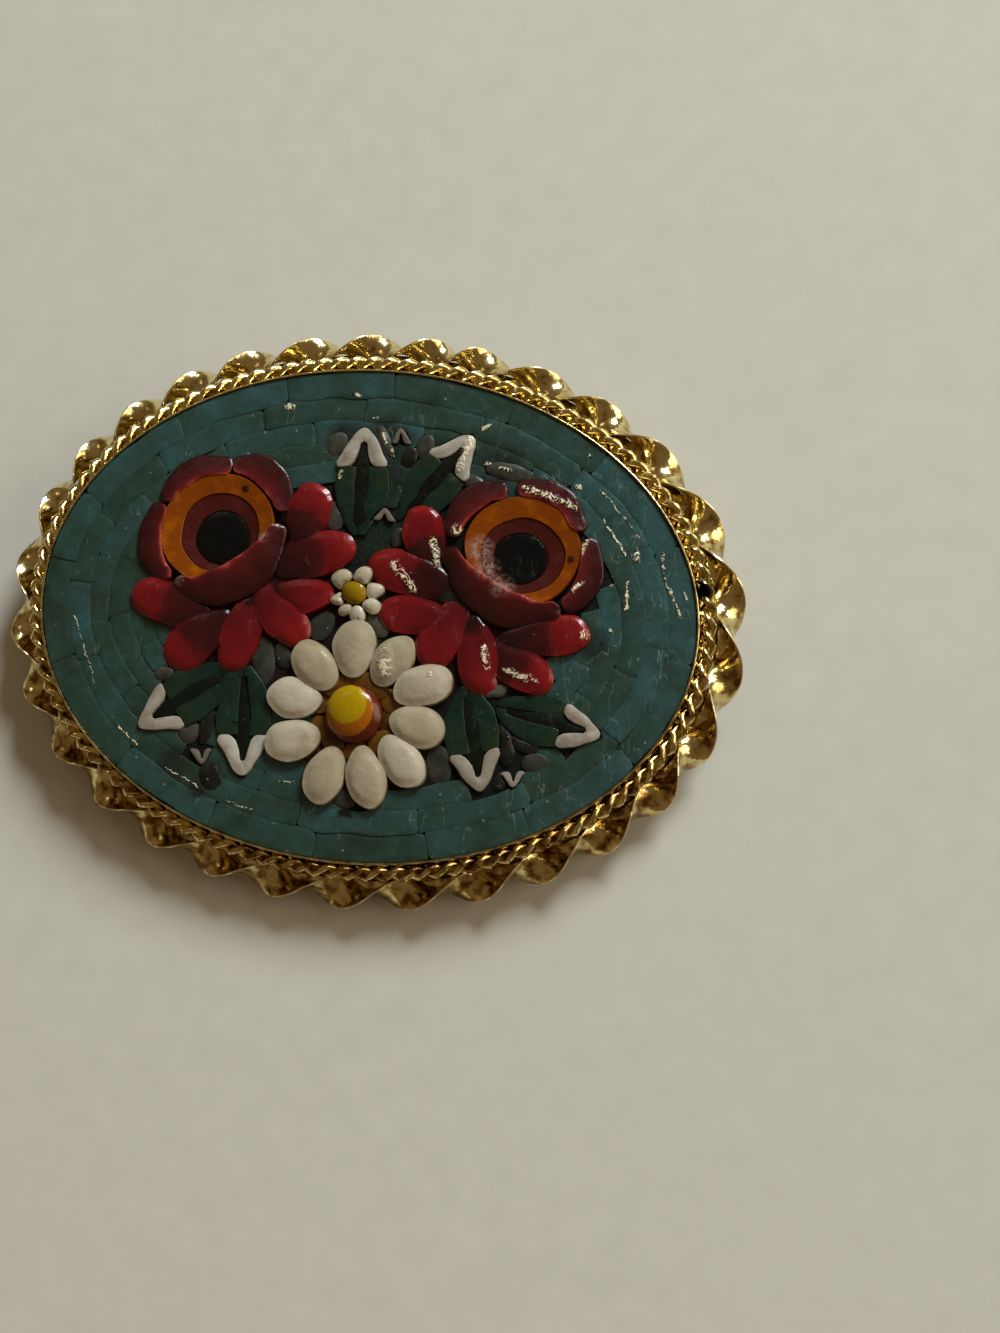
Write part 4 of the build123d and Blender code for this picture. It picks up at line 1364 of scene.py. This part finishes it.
wires = []
for side in (1, -1):
    bpy.ops.mesh.primitive_circle_add(vertices=10, radius=wire_diameter / 2,
                                      location=(0, side * wire_offset, 0),
                                      rotation=(0, pi / 2, 0))
    wires.append(bpy.context.object)
rope = joined("rope", wires)
bpy.ops.object.transform_apply(location=True, rotation=True, scale=True)
apply_modifier(rope, "SCREW", axis="X", angle=2 * pi * rope_turns, screw_offset=rope_length,
               steps=rope_turns * rope_steps_per_turn,
               render_steps=rope_turns * rope_steps_per_turn)
rope.data.transform(Matrix.Translation((0, rope_out, -rope_drop)))
bend_round(rope, edge_runs, fine_turns)
print("the rope has", len(rope.data.polygons), "faces")

# %% [markdown]
# The border is one flat strip of brass that is twisted all the way round, half a turn from each
# lobe to the next. Its section is swept along a screw too. Its edges carry the attribute that the
# metal reads for a painted highlight along them.

# %% The twisted strip
strip_width = 1.80
strip_thickness = 0.26
strip_out = 1.605           # from the mosaic's edge to the strip's middle line
strip_drop = 1.75           # from the bezel's edge down to it
strip_steps_per_bump = 18
strip_rim_highlight = 0.7         # how strong the painted highlight on its edges is
strip_edge = 0.94           # and from where on, as a share of half its width
strip_section = [
    # places across and through the strip, as shares: nearly flat faces and thick round edges
    (1.0, 0.0), (0.97, 0.42), (0.88, 0.62), (0.55, 0.78), (0.0, 1.0),
    (-0.55, 0.78), (-0.88, 0.62), (-0.97, 0.42), (-1.0, 0.0),
    (-0.97, -0.42), (-0.88, -0.62), (-0.55, -0.78), (0.0, -1.0),
    (0.55, -0.78), (0.88, -0.62), (0.97, -0.42),
]

bpy.ops.mesh.primitive_circle_add(vertices=len(strip_section), radius=1)
strip = bpy.context.object
for v, (across, through) in zip(strip.data.vertices, strip_section):
    v.co = (0, across * strip_width / 2, through * strip_thickness / 2)
bumps = len(strip_bumps)
apply_modifier(strip, "SCREW", axis="X", angle=pi * bumps, screw_offset=bumps,
               steps=bumps * strip_steps_per_bump, render_steps=bumps * strip_steps_per_bump)
# painted highlight along the strip's edges
give(strip, "edge", [strip_rim_highlight * (hypot(v.co.y, v.co.z) > strip_edge * strip_width / 2)
                     for v in strip.data.vertices])
strip.data.transform(Matrix.Translation((0, strip_out, -strip_drop)))
bump_turns = np.radians(strip_bumps + [strip_bumps[0] + 360])
bend_round(strip, np.arange(bumps + 1), bump_turns)
print("the strip has", len(strip.data.polygons), "faces and", bumps, "lobes")

# %% [markdown]
# The cup was stamped from sheet. A spin would make it round, so a grid is used: its rows are the
# steps of the cup's profile, and its columns go round the oval. A last face closes the back.

# %% The cup
cup_profile = [
    # out from the mosaic's edge, height
    (0.0, -1.9), (0.0, -0.05), (0.02, -0.01), (0.06, 0.0), (0.10, -0.01), (0.13, -0.05),
    (0.17, -0.35), (0.22, -1.10), (0.30, -1.18), (0.80, -1.18), (0.85, -1.23), (0.85, -1.95),
    (0.92, -2.02), (1.42, -2.02), (1.48, -2.07), (1.48, -2.24), (1.42, -2.3),
]
cup_steps = 240
cup_rim_highlight = 0.25          # how strong the painted highlight on the bezel's edge is
cup_edge = -0.03            # and from what height on

bpy.ops.mesh.primitive_grid_add(x_subdivisions=cup_steps, y_subdivisions=len(cup_profile) - 1, size=2)
cup = bpy.context.object
heights = np.array([v.co.y for v in cup.data.vertices])
rows = np.rint((heights + 1) / 2 * (len(cup_profile) - 1)).astype(int)
for v, row in zip(cup.data.vertices, rows):
    v.co.y, v.co.z = cup_profile[row]
# painted highlight along the bezel's edge
give(cup, "edge", [cup_rim_highlight * (v.co.z > cup_edge) for v in cup.data.vertices])
bend_round(cup, [-1, 1], [0, 2 * pi])
edit(cup)
bpy.ops.mesh.select_mode(type="EDGE")
bpy.ops.mesh.select_all(action="DESELECT")
bpy.ops.mesh.select_non_manifold()
bpy.ops.mesh.edge_face_add()
done()

# %% [markdown]
# The three are joined into one object, because solder makes them one piece of metal.

# %% The three as one
setting = joined("gilt_setting", [cup, rope, strip])
lay(setting, gilt, "gilt_metal", "setting")

# %% [markdown]
# The cement fills the cup and stands up between the stones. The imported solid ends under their
# seat, so its top is raised until it lies just below the tops of the ground stones.

# %% The cement between the stones
cement_drop = 0.07          # from the tops of the ground stones down to the cement
level_slack = 0.01          # what lies this near to the top belongs to it

mastic = bench_copy("cement_between_the_stones", "cement_bed", crumb=0.001)
top = max(v.co.z for v in mastic.data.vertices)
for v in mastic.data.vertices:
    if v.co.z > top - level_slack:
        v.co.z = ground_level - cement_drop
lay(mastic, cement, "cement", "cement_bed")

# %% [markdown]
# The pin fitting is plain and mostly out of sight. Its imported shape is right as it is, so it
# stays, and only its finish is given: brass that was gilded thinly and never polished.

# %% The pin fitting
pin = frame["nodes"]["pin_fitting"]
pin.data.materials.clear()
pin.data.materials.append(gilt_back)
print("the pin fitting has", gilt_back.name)

# %% [markdown]
# ## The table and the light
# The brooch lies on cream card. One large lamp stands behind it, a little to the right, so its
# shadow falls towards the camera with a soft edge. Two walls and a window give the gold something
# to mirror, and the rest of the room is dim and brown.

# %% The table and the light
bpy.ops.mesh.primitive_plane_add(size=1.2)
card = bpy.context.object
card.name = "table_card"
card_material, tree, shader, bench = new_material("cream_card", {"Roughness": 0.8})
fibres = node(tree, "TexNoise", {"Vector": bench, "Scale": 0.6, "Detail": 6.0})
tint = ramp(tree, fibres.outputs["Fac"], [(0.3, "#d0cec5"), (0.7, "#d5d3ca")])
tree.links.new(tint, shader.inputs["Base Color"])
card.data.materials.append(card_material)

lamps = [
    # name, place in metres, diameter in metres, watts, colour
    ("lamp", (0.28, 0.62, 0.42), 0.28, 6.2, "#f4feff"),
    ("window", (-0.22, 0.26, 0.34), 0.10, 0.04, "#ffe9cf"),
    ("bright_wall", (0.57, 0.17, 0.24), 0.50, 1.60, "#fff3dc"),
    ("pale_wall", (-0.30, -0.36, 0.10), 0.30, 0.02, "#ffe2c0"),
]
for name, place, width, watts, tint in lamps:
    bpy.ops.object.light_add(type="AREA", location=place)
    lamp = bpy.context.object
    lamp.name = name
    lamp.data.shape = "DISK"
    lamp.data.size = width
    lamp.data.energy = watts
    lamp.data.color = colour(tint)[:3]
    lamp.rotation_euler = Vector(place).to_track_quat("Z", "Y").to_euler()

world = bpy.data.worlds.new("dim_room")
bpy.context.scene.world = world
world.use_nodes = True
room = world.node_tree.nodes["Background"]
room.inputs["Color"].default_value = colour("#c4a57c")
room.inputs["Strength"].default_value = 0.27
bpy.context.scene.view_settings.view_transform = "Standard"
print(len(lamps), "lamps")
